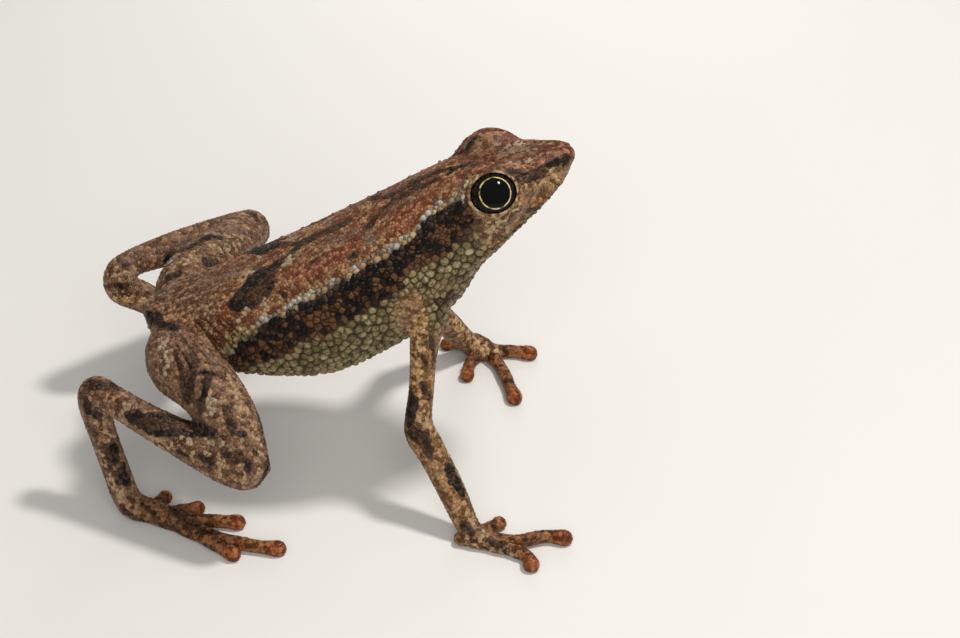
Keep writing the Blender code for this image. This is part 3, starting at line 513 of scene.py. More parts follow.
# Gloss and shine of skin and eyes, and their fine grain: how high in millimetres, and how strong.
SKIN_GLOSS, SKIN_SHINE, SKIN_BUMP = 0.36, 0.18, (0.02, 0.8)
TONE_GLOSS, GROOVE_GLOSS, TIP_GLOSS = 0.08, 0.18, 0.14
EYE_GLOSS, EYE_SHINE, EYE_BUMP = 0.05, 0.12, (0.002, 0.2)
RING_UNEVEN, RING_WAVE, RING_CLOUD, RING_GAPS = 0.05, 0.5, 0.35, (0.3, 0.55)
FLECK_SIZE, GOLD_FLECKS, FLECK_STRENGTH = 0.1, (0.52, 0.68), 0.5
EYE_GRAIN, FRONT_DEPTH = 0.12, 0.3


def grains(*thousandths):
    """A colour in linear light as its dark, its usual and its light grains."""
    return tuple(tuple(n / 1000 for n in thousandths[i : i + 3]) for i in (0, 3, 6))


MARK_COLOURS = {
    "rust": grains(50, 15, 7, 118, 40, 19, 215, 88, 45),
    # A light sand colour, laid as painted light where more light falls: down the upper near arm, along the
    # near hand, on the far hand and on the far heel.
    "painted_light_sand": grains(130, 62, 24, 360, 205, 90, 540, 360, 190),
    "tan": grains(80, 38, 16, 225, 130, 66, 390, 262, 156),
    "red": grains(80, 22, 11, 200, 66, 32, 360, 165, 90),
    "grey": grains(100, 48, 28, 160, 92, 56, 230, 155, 112),
    "brown": grains(16, 9, 6, 46, 23, 13, 95, 50, 28),
    "orange": grains(140, 48, 18, 290, 110, 45, 420, 190, 85),
    "cream": grains(110, 75, 28, 250, 190, 88, 420, 345, 195),
    "pale": grains(150, 92, 46, 265, 185, 115, 380, 295, 200),
    "black": grains(6, 4, 3, 20, 11, 8, 60, 35, 24),
}
BACK_BRICK = grains(110, 32, 13, 225, 78, 33, 340, 150, 72)
BACK_TAN = grains(90, 38, 16, 245, 124, 56, 410, 255, 135)
BACK_BROWN = grains(50, 18, 9, 105, 43, 22, 175, 85, 46)
RUMP_BROWN = grains(60, 26, 12, 145, 70, 33, 250, 140, 75)
RUMP_GREY = grains(80, 44, 26, 165, 100, 62, 270, 200, 145)
HEAD_TAN = grains(70, 30, 13, 172, 88, 45, 310, 190, 105)
CHEEK_TAN = grains(90, 42, 15, 265, 158, 74, 450, 320, 175)
CHEEK_BROWN = grains(50, 22, 8, 150, 76, 34, 260, 160, 82)
HEAD_RED = grains(70, 22, 10, 150, 56, 29, 250, 115, 65)
ARM_TAN = grains(100, 44, 16, 290, 150, 62, 470, 290, 150)
ARM_BROWN = grains(60, 28, 12, 140, 78, 36, 220, 140, 72)
LEG_TAN = grains(80, 36, 20, 245, 138, 80, 400, 270, 180)
LEG_BROWN = grains(45, 20, 10, 135, 68, 36, 230, 135, 80)
LIMB_UNDER = grains(120, 62, 40, 230, 130, 88, 330, 215, 155)
FOOT_BROWN = grains(55, 24, 10, 165, 82, 38, 280, 165, 85)
FOOT_RUST = grains(70, 26, 10, 170, 72, 30, 250, 125, 60)
DIGIT_BROWN = grains(40, 16, 7, 110, 48, 22, 200, 100, 48)
DIGIT_RUST = grains(75, 22, 7, 170, 60, 21, 290, 130, 55)
TIP_RUST = grains(100, 25, 8, 215, 58, 18, 350, 130, 50)
BAND_BLACK = grains(5, 3, 2, 14, 8, 6, 40, 24, 15)
BAND_BROWN = grains(12, 5, 2, 42, 16, 6, 115, 52, 22)
BELLY_CREAM = grains(110, 78, 32, 255, 208, 104, 430, 375, 230)
BELLY_TAN = grains(50, 31, 12, 125, 85, 35, 250, 185, 90)
SHOULDER_TAN = grains(36, 19, 7, 125, 76, 29, 270, 190, 92)
LINE_PALE = grains(140, 112, 80, 290, 262, 210, 420, 400, 345)
LINE_ORANGE = grains(150, 75, 28, 320, 200, 90, 440, 320, 170)
FLECK_ORANGE = grains(110, 38, 15, 250, 105, 50, 350, 180, 95)
FLECK_PALE = grains(140, 90, 55, 320, 225, 145, 460, 360, 260)
LID_CREAM = grains(90, 52, 20, 250, 160, 78, 420, 310, 180)

# Marks that only some grains carry: the tones of grain from which they start, and from which all carry them.
BROKEN_MARKS = {
    "tan": (-0.1, 0.3), "red": (0.05, 0.5), "grey": (0.25, 0.6), "brown": (-0.2, 0.2), "cream": (0.15, 0.5),
    "pale": (0.2, 0.55), "black": (-0.6, -0.2), "orange": (-0.1, 0.3), "painted_light_sand": (-0.05, 0.45),
    "rust": (-0.1, 0.3),
}
# The tint of the painted shade in the grooves between granules and in the folds of skin.
GROOVE_SHADE = (0.6, 0.55, 0.5)
# The black of the gaps between granules of belly and band: partly the skin's own dark net, partly painted
# shade.
NET_BLACK_AND_SHADE = (0.01, 0.007, 0.005)
# The painted shade in the slit of the mouth and the pits of the nostrils.
SLIT_PAINTED_SHADE = (0.016, 0.008, 0.006)
EYE_BLACK = (0.003, 0.003, 0.003)
IRIS_BROWN = (0.004, 0.003, 0.002)
IRIS_GOLD = (0.22, 0.13, 0.05)
RING_GOLD = (0.8, 0.62, 0.3)
FLOOR_PALE = (0.74, 0.73, 0.71)
FLOOR_PALER = (0.78, 0.77, 0.75)

FLOOR_SIZE, FLOOR_SQUARES, FLOOR_CLOUD = 3000.0, 8, 40.0
FLOOR_GLOSS, FLOOR_GRAIN, FLOOR_SWAY = 0.75, 9.0, 0.1
SKY_COLOUR = (1.0, 0.98, 0.95)
SKY_STRENGTH = 0.35
# The lamps: name, place in millimetres, width, power in watts, colour, and whether wet skin mirrors them.
LAMPS = (
    ("key", (56.0, 7.0, 134.0), 20.0, 0.125, (1.0, 0.97, 0.92), True),
    ("fill", (10.0, -130.0, 85.0), 120.0, 0.1, (1.0, 0.98, 0.95), False),
    ("rim", (12.0, 90.0, 40.0), 50.0, 0.02, (1.0, 0.98, 0.96), False),
)


def clean_remove(thing):
    mesh = thing.data
    bpy.data.objects.remove(thing, do_unlink=True)
    bpy.data.meshes.remove(mesh)


def lean(point):
    """A point of the upright body, moved to where the leaning body has it."""
    x, y, z = point
    rise = z - LEAN_HEIGHT
    return Vector((
        x,
        y * math.cos(BODY_LEAN) + rise * math.sin(BODY_LEAN),
        LEAN_HEIGHT - y * math.sin(BODY_LEAN) + rise * math.cos(BODY_LEAN),
    ))


def lean_direction(direction):
    return lean(direction) - lean((0.0, 0.0, 0.0))


def stood_upright(points):
    """Points of the leaning body, turned back into the upright body's frame."""
    y, rise = points[:, 1], points[:, 2] - LEAN_HEIGHT
    upright = points.copy()
    upright[:, 1] = y * math.cos(BODY_LEAN) - rise * math.sin(BODY_LEAN)
    upright[:, 2] = LEAN_HEIGHT + y * math.sin(BODY_LEAN) + rise * math.cos(BODY_LEAN)
    return upright


def mirrored(point, side):
    return (point[0], point[1] * side, point[2])


def smooth_rows(rows, steps):
    """The rows of a table with a smooth curve through each column, and steps rows for each old one."""
    table = np.array(rows, float)
    ends = np.vstack([2 * table[0] - table[1], table, 2 * table[-1] - table[-2]])
    out = []
    for i in range(len(table) - 1):
        a, b, c, d = ends[i : i + 4]
        for k in range(steps):
            t = k / steps
            bend = (2 * a - 5 * b + 4 * c - d) * t**2 + (3 * b - a - 3 * c + d) * t**3
            out.append(0.5 * (2 * b + (c - a) * t + bend))
    out.append(table[-1])
    return np.array(out)


def smooth_step(low, high, values):
    t = np.clip((values - low) / (high - low), 0.0, 1.0)
    return t * t * (3 - 2 * t)


def step_at(place, reach, values):
    """A smooth step from 0 to 1 that begins and ends this far from a place."""
    return smooth_step(place + reach[0], place + reach[1], values)


def hill(distance, width):
    """1 at no distance, falling off smoothly over a width."""
    return np.exp(-((distance / width) ** 2))


def full_turn(count):
    """The angles of one full turn in equal steps."""
    return [2 * math.pi * k / count for k in range(count)]


def new_object(name, bm):
    mesh = bpy.data.meshes.new(name)
    bmesh.ops.recalc_face_normals(bm, faces=bm.faces)
    if bm.calc_volume(signed=True) < 0:
        bmesh.ops.reverse_faces(bm, faces=bm.faces)
    bm.to_mesh(mesh)
    bm.free()
    thing = bpy.data.objects.new(name, mesh)
    bpy.context.scene.collection.objects.link(thing)
    return thing


def loft(name, rings):
    """A closed body through rings of equal count, with its two ends filled."""
    bm = bmesh.new()
    rows = [[bm.verts.new(p) for p in ring] for ring in rings]
    count = len(rows[0])
    for low, high in zip(rows, rows[1:]):
        for i in range(count):
            j = (i + 1) % count
            bm.faces.new((low[i], low[j], high[j], high[i]))
    bm.faces.new(rows[0][::-1])
    bm.faces.new(rows[-1])
    return new_object(name, bm)


def signed_power(value, power):
    return math.copysign(abs(value) ** power, value)


def trunk_ring(row):
    """One section of head or trunk, a rounded box, fuller above or below as the row says."""
    x, z, tilt, width, rise, drop, square_above, square_below = row
    tilt = math.radians(tilt)
    ring = []
    for a in full_turn(POINTS_PER_RING):
        above = math.sin(a) > 0
        power = 2 / (square_above if above else square_below)
        side = width * signed_power(math.cos(a), power)
        up = (rise if above else drop) * signed_power(math.sin(a), power)
        ring.append(lean((x - up * math.sin(tilt), side, z + up * math.cos(tilt))))
    return ring


def tube(name, rows, sides=LIMB_SIDES):
    """A round limb along a smooth path of (x, y, z, radius), with rounded ends."""
    path = smooth_rows(rows, TUBE_STEPS)
    points = [Vector(row[:3]) for row in path]
    radii = [float(row[3]) for row in path]
    start = (points[0] - points[1]).normalized()
    finish = (points[-1] - points[-2]).normalized()
    for turn in END_TURNS:
        reach, width = math.sin(math.radians(turn)), math.cos(math.radians(turn))
        points.insert(0, Vector(path[0][:3]) + start * reach * path[0][3])
        radii.insert(0, path[0][3] * width)
        points.append(Vector(path[-1][:3]) + finish * reach * path[-1][3])
        radii.append(path[-1][3] * width)
    side = start.orthogonal().normalized()
    rings = []
    for i, centre in enumerate(points):
        along = (points[min(i + 1, len(points) - 1)] - points[max(i - 1, 0)]).normalized()
        side = (side - along * side.dot(along)).normalized()
        up = along.cross(side)
        rings.append([centre + (side * math.cos(a) + up * math.sin(a)) * radii[i] for a in full_turn(sides)])
    return loft(name, rings)


def ball(name, centre, radius, detail=BALL_DETAIL):
    bm = bmesh.new()
    bmesh.ops.create_icosphere(bm, subdivisions=detail, radius=radius)
    bmesh.ops.translate(bm, verts=bm.verts, vec=Vector(centre))
    return new_object(name, bm)


def apply_modifiers(thing):
    graph = bpy.context.evaluated_depsgraph_get()
    mesh = bpy.data.meshes.new_from_object(thing.evaluated_get(graph))
    old = thing.data
    thing.modifiers.clear()
    thing.data = mesh
    bpy.data.meshes.remove(old)


def boolean(base, others, operation):
    """Joins the others to the base, or cuts them from it, and removes them."""
    group = bpy.data.collections.new("others")
    bpy.context.scene.collection.children.link(group)
    for other in others:
        group.objects.link(other)
    change = base.modifiers.new("boolean", "BOOLEAN")
    change.operation = operation
    change.operand_type = "COLLECTION"
    change.collection = group
    change.solver = "MANIFOLD"
    apply_modifiers(base)
    for other in others:
        clean_remove(other)
    bpy.data.collections.remove(group)
    return base


def mouth_normal():
    """The direction that points up and back, square to the mouth line."""
    front, corner = MOUTH[0], MOUTH[-1]
    return lean_direction((corner[1] - front[1], 0, front[0] - corner[0])).normalized()


def mouth_path(body, depth):
    """Points on the surface along the mouth, from its right corner round the snout to its left one."""
    graph = bpy.context.evaluated_depsgraph_get()
    surface = BVHTree.FromObject(body, graph)
    sides = []
    for side in (-1, 1):
        points = []
        for x, z in MOUTH[1:]:
            outward = lean_direction((0, side, 0))
            hit, _, _, _ = surface.ray_cast(lean((x, 0, z)), outward)
            points.append(hit - outward * depth)
        sides.append(points)
    forward = lean_direction((1, 0, 0))
    front, _, _, _ = surface.ray_cast(lean((MOUTH[0][0] - MOUTH_RAY_BACK, 0, MOUTH[0][1])), forward)
    return sides[0][::-1] + [front - forward * depth] + sides[1]


def head_and_trunk():
    rows = smooth_rows(TRUNK, RINGS_PER_STATION)
    pieces = [loft("trunk", [trunk_ring(row) for row in rows])]
    lip = [p + mouth_normal() * LIP_RISE for p in mouth_path(pieces[0], LIP_SINK)]
    pieces.append(tube("lip", [(*p, LIP_RADIUS) for p in lip]))
    for side in (-1, 1):
        pieces.append(ball("lid", lean(mirrored(LID_CENTRE, side)), LID_RADIUS))
        ridge = [(*lean((x, y * side, z)), r) for x, y, z, r in CANTHUS]
        pieces.append(tube("canthus", ridge))
        bump = lean(mirrored(NOSTRIL_BUMP, side))
        pieces.append(ball("nostril_bump", bump, NOSTRIL_BUMP_RADIUS, BUMP_DETAIL))
    return pieces


def limbs():
    pieces = [tube("limb", rows) for rows in (ARM_R, ARM_L, LEG_R, LEG_L)]
    pieces += [tube("sole", rows) for rows in (PALM_R, PALM_L, SOLE_R, SOLE_L)]
    for digits in (FINGERS_R, FINGERS_L, TOES_R, TOES_L):
        pieces += [tube("digit", digit, DIGIT_SIDES) for digit in digits]
    return pieces


def tree_of(points):
    tree = KDTree(len(points))
    for i, point in enumerate(points):
        tree.insert(point, i)
    tree.balance()
    return tree


def places_of(mesh, kind="co"):
    """Where the points of a mesh lie, or which way they face if kind is "normal"."""
    values = np.empty(len(mesh.vertices) * 3)
    mesh.vertices.foreach_get(kind, values)
    return values.reshape(-1, 3)


def softness_of(places):
    """How much each place is smoothed: in full where the body is thick and hardly on the digits."""
    samples = []
    for x, z, _, width, rise, drop, _, _ in smooth_rows(TRUNK, SAMPLE_STEPS):
        thick = HEAD_SOFTNESS if x > HEAD_START else min(width, rise + drop) * TRUNK_SOFTNESS
        samples += [(lean((x, width * across, z)), thick) for across in TRUNK_SAMPLES]
    digits = (*FINGERS_R, *FINGERS_L, *TOES_R, *TOES_L)
    for rows in (ARM_R, ARM_L, PALM_R, PALM_L, LEG_R, LEG_L, SOLE_R, SOLE_L, *digits):
        samples += [(Vector(row[:3]), float(row[3])) for row in smooth_rows(rows, SAMPLE_STEPS + 1)]
    tree = tree_of([point for point, _ in samples])
    nearest = np.array([tree.find(place)[1] for place in places])
    widths = np.array([width for _, width in samples])[nearest]
    return np.clip((widths - THIN_WIDTH) / (THICK_WIDTH - THIN_WIDTH), LEAST_SMOOTHING, 1.0)


def soften(body):
    """Rounds the creases where pieces meet, most where the body is thick and hardly on the digits."""
    levels = np.ceil(softness_of(places_of(body.data)) * SMOOTHING_LEVELS).astype(int)
    group = body.vertex_groups.new(name="softness")
    for level in range(1, SMOOTHING_LEVELS + 1):
        group.add(np.nonzero(levels == level)[0].tolist(), level / SMOOTHING_LEVELS, "REPLACE")
    change = body.modifiers.new("soften", "SMOOTH")
    change.factor = SMOOTHING_FACTOR
    change.iterations = round(CAD_SMOOTHING * (CAD_GRAIN / GRAIN) ** 2)
    change.vertex_group = "softness"
    apply_modifiers(body)


def remesh(body, size):
    change = body.modifiers.new("remesh", "REMESH")
    change.mode = "VOXEL"
    change.voxel_size = size
    apply_modifiers(body)


def opening_frame(side):
    """The direction out of an eye's opening, its long direction, and its short one."""
    axis = lean_direction(mirrored(OPENING_AXIS, side)).normalized()
    ahead = lean_direction((math.cos(HEAD_TILT), 0, math.sin(HEAD_TILT)))
    ahead = (ahead - axis * ahead.dot(axis)).normalized()
    return axis, ahead, axis.cross(ahead)


def eye_opening(places, side):
    """How far places lie from the edge of an eye's opening, less than 0 inside it, and how far forward along
    its direction."""
    axis, ahead, across = opening_frame(side)
    offset = places - np.array(lean(mirrored(EYE, side)))
    wide, high = OPENING
    ellipse = np.hypot(offset @ np.array(ahead) / wide, offset @ np.array(across) / high)
    return (ellipse - 1) * (wide + high) / 2, offset @ np.array(axis)


def raise_lids(body):
    """Keeps the skin clear of the eyeballs, as lids lie over them, and lets it fall off gently from there."""
    places = places_of(body.data)
    for side in (-1, 1):
        centre = np.array(lean(mirrored(EYE, side)))
        offset = places - centre
        distance = np.linalg.norm(offset, axis=1)
        lifted = LID_REACH + LID_EASE * np.logaddexp(0, (distance - LID_REACH) / LID_EASE)
        places = centre + offset * (lifted / distance)[:, None]
        rim, forward = eye_opening(places, side)
        wanted = SKIRT_HEIGHT - SKIRT_SLOPE * rim - SKIRT_BEND * rim**2
        lift = SKIRT_EASE * np.logaddexp(0, (wanted - forward) / SKIRT_EASE)
        lift *= (1 - smooth_step(SKIRT_NEAR, SKIRT_FAR, rim)) * smooth_step(*LID_FRONT, forward)
        places += np.array(opening_frame(side)[0]) * lift[:, None]
    body.data.vertices.foreach_set("co", places.ravel())
    body.data.update()


def opening_cutter(side):
    axis, ahead, across = opening_frame(side)
    centre = lean(mirrored(EYE, side))
    rings = []
    for depth in (0.0, OPENING_DEPTH):
        rings.append([
            centre + axis * depth + ahead * OPENING[0] * math.cos(a) + across * OPENING[1] * math.sin(a)
            for a in full_turn(EYE_SIDES)
        ])
    return loft("opening", rings)


def bare_body():
    """The whole animal as one smooth closed skin with open eye sockets, before its granules."""
    pieces = head_and_trunk() + limbs()
    body = boolean(pieces[0], pieces[1:], "UNION")
    remesh(body, GRAIN)
    soften(body)
    raise_lids(body)
    sockets = [ball("socket", lean(mirrored(EYE, side)), SOCKET_RADIUS, SOCKET_DETAIL) for side in (-1, 1)]
    boolean(body, sockets, "DIFFERENCE")
    return boolean(body, [opening_cutter(side) for side in (-1, 1)], "DIFFERENCE")


def trunk_coordinates(points):
    """Where points of the upright body lie in the trunk's own terms: along it, how far out, which is 1 on the
    surface of the plain trunk, the turn around it in degrees, and the reach from its middle."""
    rows = smooth_rows(TRUNK, RINGS_PER_STATION)
    tilts = np.radians(rows[:, 2])
    ahead = (points[:, :1] - rows[:, 0]) * np.cos(tilts) + (points[:, 2:] - rows[:, 1]) * np.sin(tilts)
    station = np.clip((ahead > 0).sum(axis=1) - 1, 0, len(rows) - 2)
    each = np.arange(len(points))
    behind, before = ahead[each, station], ahead[each, station + 1]
    share = np.clip(behind / np.maximum(behind - before, TINY), 0, 1)
    row = rows[station] + (rows[station + 1] - rows[station]) * share[:, None]
    tilt = np.radians(row[:, 2])
    up = -(points[:, 0] - row[:, 0]) * np.sin(tilt) + (points[:, 2] - row[:, 1]) * np.cos(tilt)
    above = up > 0
    width, height = row[:, 3], np.where(above, row[:, 4], row[:, 5])
    square = np.where(above, row[:, 6], row[:, 7])
    side = np.abs(points[:, 1])
    out = ((side / width) ** square + (np.abs(up) / height) ** square) ** (1 / square)
    return {
        "along": (station + share) / RINGS_PER_STATION, "out": out, "reach": np.hypot(side, up),
        "turn": np.degrees(np.arctan2(up / height, side / width)),
    }


def photo_ray(place):
    """The way from the camera through a place in the photograph's frame."""
    upward = Vector((0, math.sin(CAMERA_PITCH), math.cos(CAMERA_PITCH)))
    across = (place[0] - PHOTO_SIZE[0] / 2) * MM_PER_PIXEL / CAMERA_DISTANCE
    rise = (PHOTO_SIZE[1] / 2 - place[1]) * MM_PER_PIXEL / CAMERA_DISTANCE
    return (CAMERA_FORWARD + Vector((1, 0, 0)) * across + upward * rise).normalized()


def laid_on(surface, line, step=STROKE_STEP):
    """The points of the skin under a line of places in the photograph, close together."""
    points = []
    for start, end in zip(line, line[1:]):
        start, end = Vector((*start, 0)), Vector((*end, 0))
        count = max(2, math.ceil((end - start).length / step))
        for k in range(count + 1):
            ray = photo_ray(start.lerp(end, k / count))
            hit, _, _, _ = surface.ray_cast(CAMERA_AIM - CAMERA_FORWARD * CAMERA_DISTANCE, ray)
            if hit is not None:
                points.append(hit)
    return np.array(points)


def least_distance(points, samples, radii=0.0):
    """From each point to the nearest of a few samples, less the sample's radius."""
    best = np.full(len(points), np.inf)
    for sample, radius in zip(samples, np.broadcast_to(radii, len(samples))):
        np.minimum(best, np.sqrt(((points - sample) ** 2).sum(axis=1)) - radius, out=best)
    return best


def roughly(points, scale, shift=0.0):
    """A smooth random number from -1 to 1 at each point, the same in every run."""
    offset = Vector((shift, -shift, 2 * shift))
    return np.array([noise.noise(Vector(point) * scale + offset) for point in points])


def waved(points, waves, start=0.0):
    """Adds smooth random waves to a number at each point: their scale, their shift and their height."""
    for scale, shift, height in waves:
        start = start + roughly(points, scale, shift) * height
    return start


def spread_seeds(places, spacing, rng):
    """Picks places at random that keep their own spacing from each other."""
    tree = tree_of(places)
    free = np.ones(len(places), bool)
    chosen = []
    for i in rng.permutation(len(places)):
        if free[i]:
            chosen.append(i)
            for _, index, _ in tree.find_range(places[i], spacing[i]):
                free[index] = False
    return np.array(chosen)


class Marks:
    """The marks of the skin: for each colour a share from 0 to 1 at each seed. Later ones lie on top."""

    def __init__(self, surface, seeds, upright, ragged):
        self.surface, self.seeds, self.upright, self.ragged = surface, seeds, upright, ragged
        self.shares = {colour: np.zeros(len(seeds)) for colour in MARK_COLOURS}

    def paint(self, colour, share):
        for other in self.shares.values():
            other *= 1 - share
        self.shares[colour] += share

    def share_near(self, points, samples, width, edge):
        wide = width + MARK_SWELL + self.ragged
        return 1 - smooth_step(-edge, edge, least_distance(points, samples) - wide)

    def stroke(self, colour, width, line, where, both_sides=False):
        samples = laid_on(self.surface, line)
        if not len(samples):
            return
        edge = SOFT_MARKS.get(colour, MARK_EDGE)
        if both_sides:
            upright = stood_upright(samples)
            across = upright * (1, -1, 1)
            near = across[:, 1] > -FAR_SIDE
            if near.any():
                self.paint(colour, self.share_near(self.upright, across[near], width, edge) * where)
            self.paint(colour, self.share_near(self.upright, upright, width, edge) * where)
        else:
            self.paint(colour, self.share_near(self.seeds, samples, width, edge) * where)


def nearest_part(points):
    """How far points in the standing frame lie from the trunk and from each length of limb, and how far along
    its digit each point lies, from 0 at its root to 1 at its tip."""
    at = trunk_coordinates(stood_upright(points))
    distances = [at["reach"] * (1 - 1 / np.maximum(at["out"], LEAST_OUT))]
    for chains in LIMB_PARTS.values():
        rows = np.vstack([smooth_rows(chain, PART_STEPS) for chain in chains])
        distances.append(least_distance(points, rows[:, :3], rows[:, 3]))
    best, tip = np.full(len(points), np.inf), np.zeros(len(points))
    for chain in (*FINGERS_R, *FINGERS_L, *TOES_R, *TOES_L):
        rows = smooth_rows(chain, PART_STEPS)
        for k, row in enumerate(rows):
            distance = np.linalg.norm(points - row[:3], axis=1)
            tip = np.where(distance < best, k / (len(rows) - 1), tip)
            best = np.minimum(best, distance)
    return np.array(distances), at, tip


def line_turns(surface, line):
    """A line of the flank as its turn around the trunk for each place along the trunk."""
    at = trunk_coordinates(stood_upright(laid_on(surface, line)))
    order = np.argsort(at["along"])
    return at["along"][order], at["turn"][order]


def from_twins(places, spot):
    """How far places lie from the nearer one of two spots that mirror each other."""
    spots = [np.array(lean(mirrored(spot, side))) for side in (-1, 1)]
    return np.min([np.linalg.norm(places - middle, axis=1) for middle in spots], axis=0)


def on_parts(part, *beginnings):
    """1 where a point lies on one of the parts whose names begin so."""
    chosen = [i for i, name in enumerate(PART_NAMES) if name.startswith(beginnings)]
    return np.isin(part, chosen).astype(float)


def skin_zones(surface, seeds, normals):
    """The kinds of skin at each seed, each from 0 to 1, and the size and relief of its granules."""
    distances, at, tip = nearest_part(seeds)
    part = distances.argmin(axis=0)
    limb = smooth_step(*LIMB_EDGE, distances[0] - distances[1:].min(axis=0))
    along, turn, reach = at["along"], at["turn"], at["reach"]
    limb = limb * (1 - on_parts(part, "arm") * smooth_step(*ARM_ROOT, seeds[:, 2]))
    limb = np.maximum(limb, 1 - smooth_step(*OVER_ARM_REACH, near_line(surface, seeds, OVER_ARM)))

    def above(line, waves):
        stations, turns = line_turns(surface, line)
        return waved(seeds, waves, np.radians(turn - np.interp(along, stations, turns)) * reach)
    over_line = above(PALE_LINE, LINE_WAVES)
    over_edge = above(BAND_EDGE, BAND_WAVES)
    first, last = (f(line_turns(surface, PALE_LINE)[0]) for f in (min, max))
    flank = step_at(first, FLANK_START, along) * (1 - step_at(last, FLANK_END, along))
    flank = flank * (1 - limb)
    line = flank * (1 - step_at(LINE_WIDTH, LINE_EDGE, np.abs(over_line)))
    under_line = 1 - smooth_step(*UNDER_LINE, over_line + LINE_WIDTH * LINE_LAP)
    line_low = line * (1 - smooth_step(*LINE_LOW, over_line))
    band = flank * under_line * smooth_step(*BAND_LOW, over_edge)
    band_top = band * step_at(-BAND_TOP, BAND_TOP_EDGE, over_line)

    upright = stood_upright(seeds)
    front, back = np.array(MOUTH[0]), np.array(MOUTH[-1])
    slope = (back - front) / np.linalg.norm(back - front)
    over_mouth = (upright[:, 0] - front[0]) * slope[1] - (upright[:, 2] - front[1]) * slope[0]
    head = step_at(last, HEAD_EDGE, along)
    belly = (1 - head) * (1 - smooth_step(*BAND_LOW, over_edge)) + head * (1 - smooth_step(*CHIN, over_mouth))
    belly = belly * (1 - limb)
    shoulder = belly * smooth_step(*SHOULDER_START, along) * smooth_step(*SHOULDER_TOP, over_edge)
    rump = (1 - step_at(first, RUMP_EDGE, along)) * (1 - limb) * (1 - belly)
    cheek = 1 - smooth_step(*CHEEK_TURN, turn)
    digit, foot = on_parts(part, "fingers", "toes"), on_parts(part, "hand", "foot")
    tan_head = head * (1 - limb) * (1 - belly)

    spacing, relief = (np.full(len(seeds), number) for number in BACK_GRANULES)
    for share, (size, height) in (
        (tan_head, HEAD_GRANULES), (band, BAND_GRANULES),
        (band * step_at(last, NECK_EDGE, along), NECK_GRANULES), (line, LINE_GRANULES),
        (belly, BELLY_GRANULES), (belly * head, THROAT_GRANULES), (limb, LIMB_GRANULES),
        (limb * on_parts(part, "thigh", "shank"), LEG_GRANULES), (foot, FOOT_GRANULES),
        (digit, DIGIT_GRANULES),
    ):
        spacing += (size - spacing) * share
        relief += (height - relief) * share
    return {
        "spacing": np.maximum(spacing, FINEST_GRANULE), "relief": relief, "part": part, "limb": limb,
        "line": line, "line_low": line_low, "band": band, "band_top": band_top, "belly": belly,
        "shoulder": shoulder, "head": tan_head, "cheek": cheek * tan_head, "rump": rump, "digit": digit,
        "foot": foot, "tip": tip * digit, "leg": on_parts(part, "thigh", "shank", "tarsus"),
        "under": smooth_step(*UNDERSIDE, -normals[:, 2]),
        "unseen": smooth_step(*UNSEEN, normals @ np.array(CAMERA_FORWARD)),
    }


def marks_of(surface, seeds, zones, rng):
    """The marks at each seed: strokes where the photograph shows them, and blotches out of its sight."""
    upright = stood_upright(seeds)
    ragged = waved(seeds, MARK_WAVES) + rng.uniform(-1, 1, len(seeds)) * MARK_JITTER
    marks = Marks(surface, seeds, upright, ragged)
    part, trunk = zones["part"], 1 - zones["limb"]

    unseen = zones["unseen"] * zones["limb"] * (1 - zones["digit"])
    blotch = waved(seeds, BLOTCH_WAVES)
    for colour, sign, edge, share in BLOTCHES:
        marks.paint(colour, smooth_step(*edge, blotch * sign) * unseen * share)
    for colour, width, line in BACK_STROKES + HEAD_STROKES:
        marks.stroke(colour, width, line, trunk, both_sides=True)
    for strokes, parts in (
        (ARM_STROKES, ("arm_r", "forearm_r", "hand_r", "fingers_r")),
        (THIGH_STROKES, ("thigh_r", "shank_r")), (SHANK_STROKES, ("shank_r", "thigh_r", "tarsus_r")),
        (FOOT_STROKES, ("tarsus_r", "foot_r", "toes_r")),
        (FAR_LEG_STROKES, ("thigh_l", "shank_l", "tarsus_l")),
        (FAR_ARM_STROKES, ("forearm_l", "hand_l")),
    ):
        for colour, width, line in strokes:
            marks.stroke(colour, width, line, on_parts(part, *parts))
    return marks.shares


def near_line(surface, places, line):
    """The distance of places from a line laid on the skin, on both sides of the body."""
    samples = laid_on(surface, line, LINE_STEP)
    if not len(samples):
        return np.full(len(places), NOWHERE)
    samples, upright = stood_upright(samples), stood_upright(places)
    upright[:, 1] = -np.abs(upright[:, 1])
    return least_distance(upright, samples)


def carved(surface, places, eye_rim, body):
    """How far the skin rises at each place for lips, nostrils, the ridges of the snout, folds, swellings and
    lids, how much of a slit or pit is there, and how much of a fold."""
    rise = np.zeros(len(places))
    mouth = least_distance(places, smooth_rows([tuple(p) for p in mouth_path(body, 0.0)], MOUTH_STEPS))
    slit = hill(mouth, MOUTH_WIDTH)
    rise += hill(mouth - LIP_OFFSET, LIP_WIDTH) * LIP_SWELL - slit * MOUTH_DEEP
    nostril = from_twins(places, NOSTRIL)
    pit = hill(nostril, NOSTRIL_WIDTH)
    rise += hill(nostril - NOSTRIL_OFFSET, NOSTRIL_RING) * NOSTRIL_SWELL - pit * NOSTRIL_DEEP

    ridge = hill(near_line(surface, places, SNOUT_RIDGE), RIDGE_WIDTH)
    hollow = hill(near_line(surface, places, SNOUT_HOLLOW), HOLLOW_WIDTH)
    rise += ridge * RIDGE_RISE - hollow * HOLLOW_DEEP
    folds = np.min([near_line(surface, places, fold) for fold in FOLDS], axis=0)
    folds = hill(folds, FOLD_WIDTH)
    rise -= folds * FOLD_DEEP
    for place, width, height in BULGES:
        rise += hill(near_line(surface, places, (place, place)), width) * height
    rise += hill(eye_rim - RIM_OFFSET, RIM_WIDTH) * RIM_RISE
    rise -= hill(eye_rim - CREASE_OFFSET, RIM_WIDTH) * CREASE_DEEP
    return rise, np.maximum(slit, pit), folds


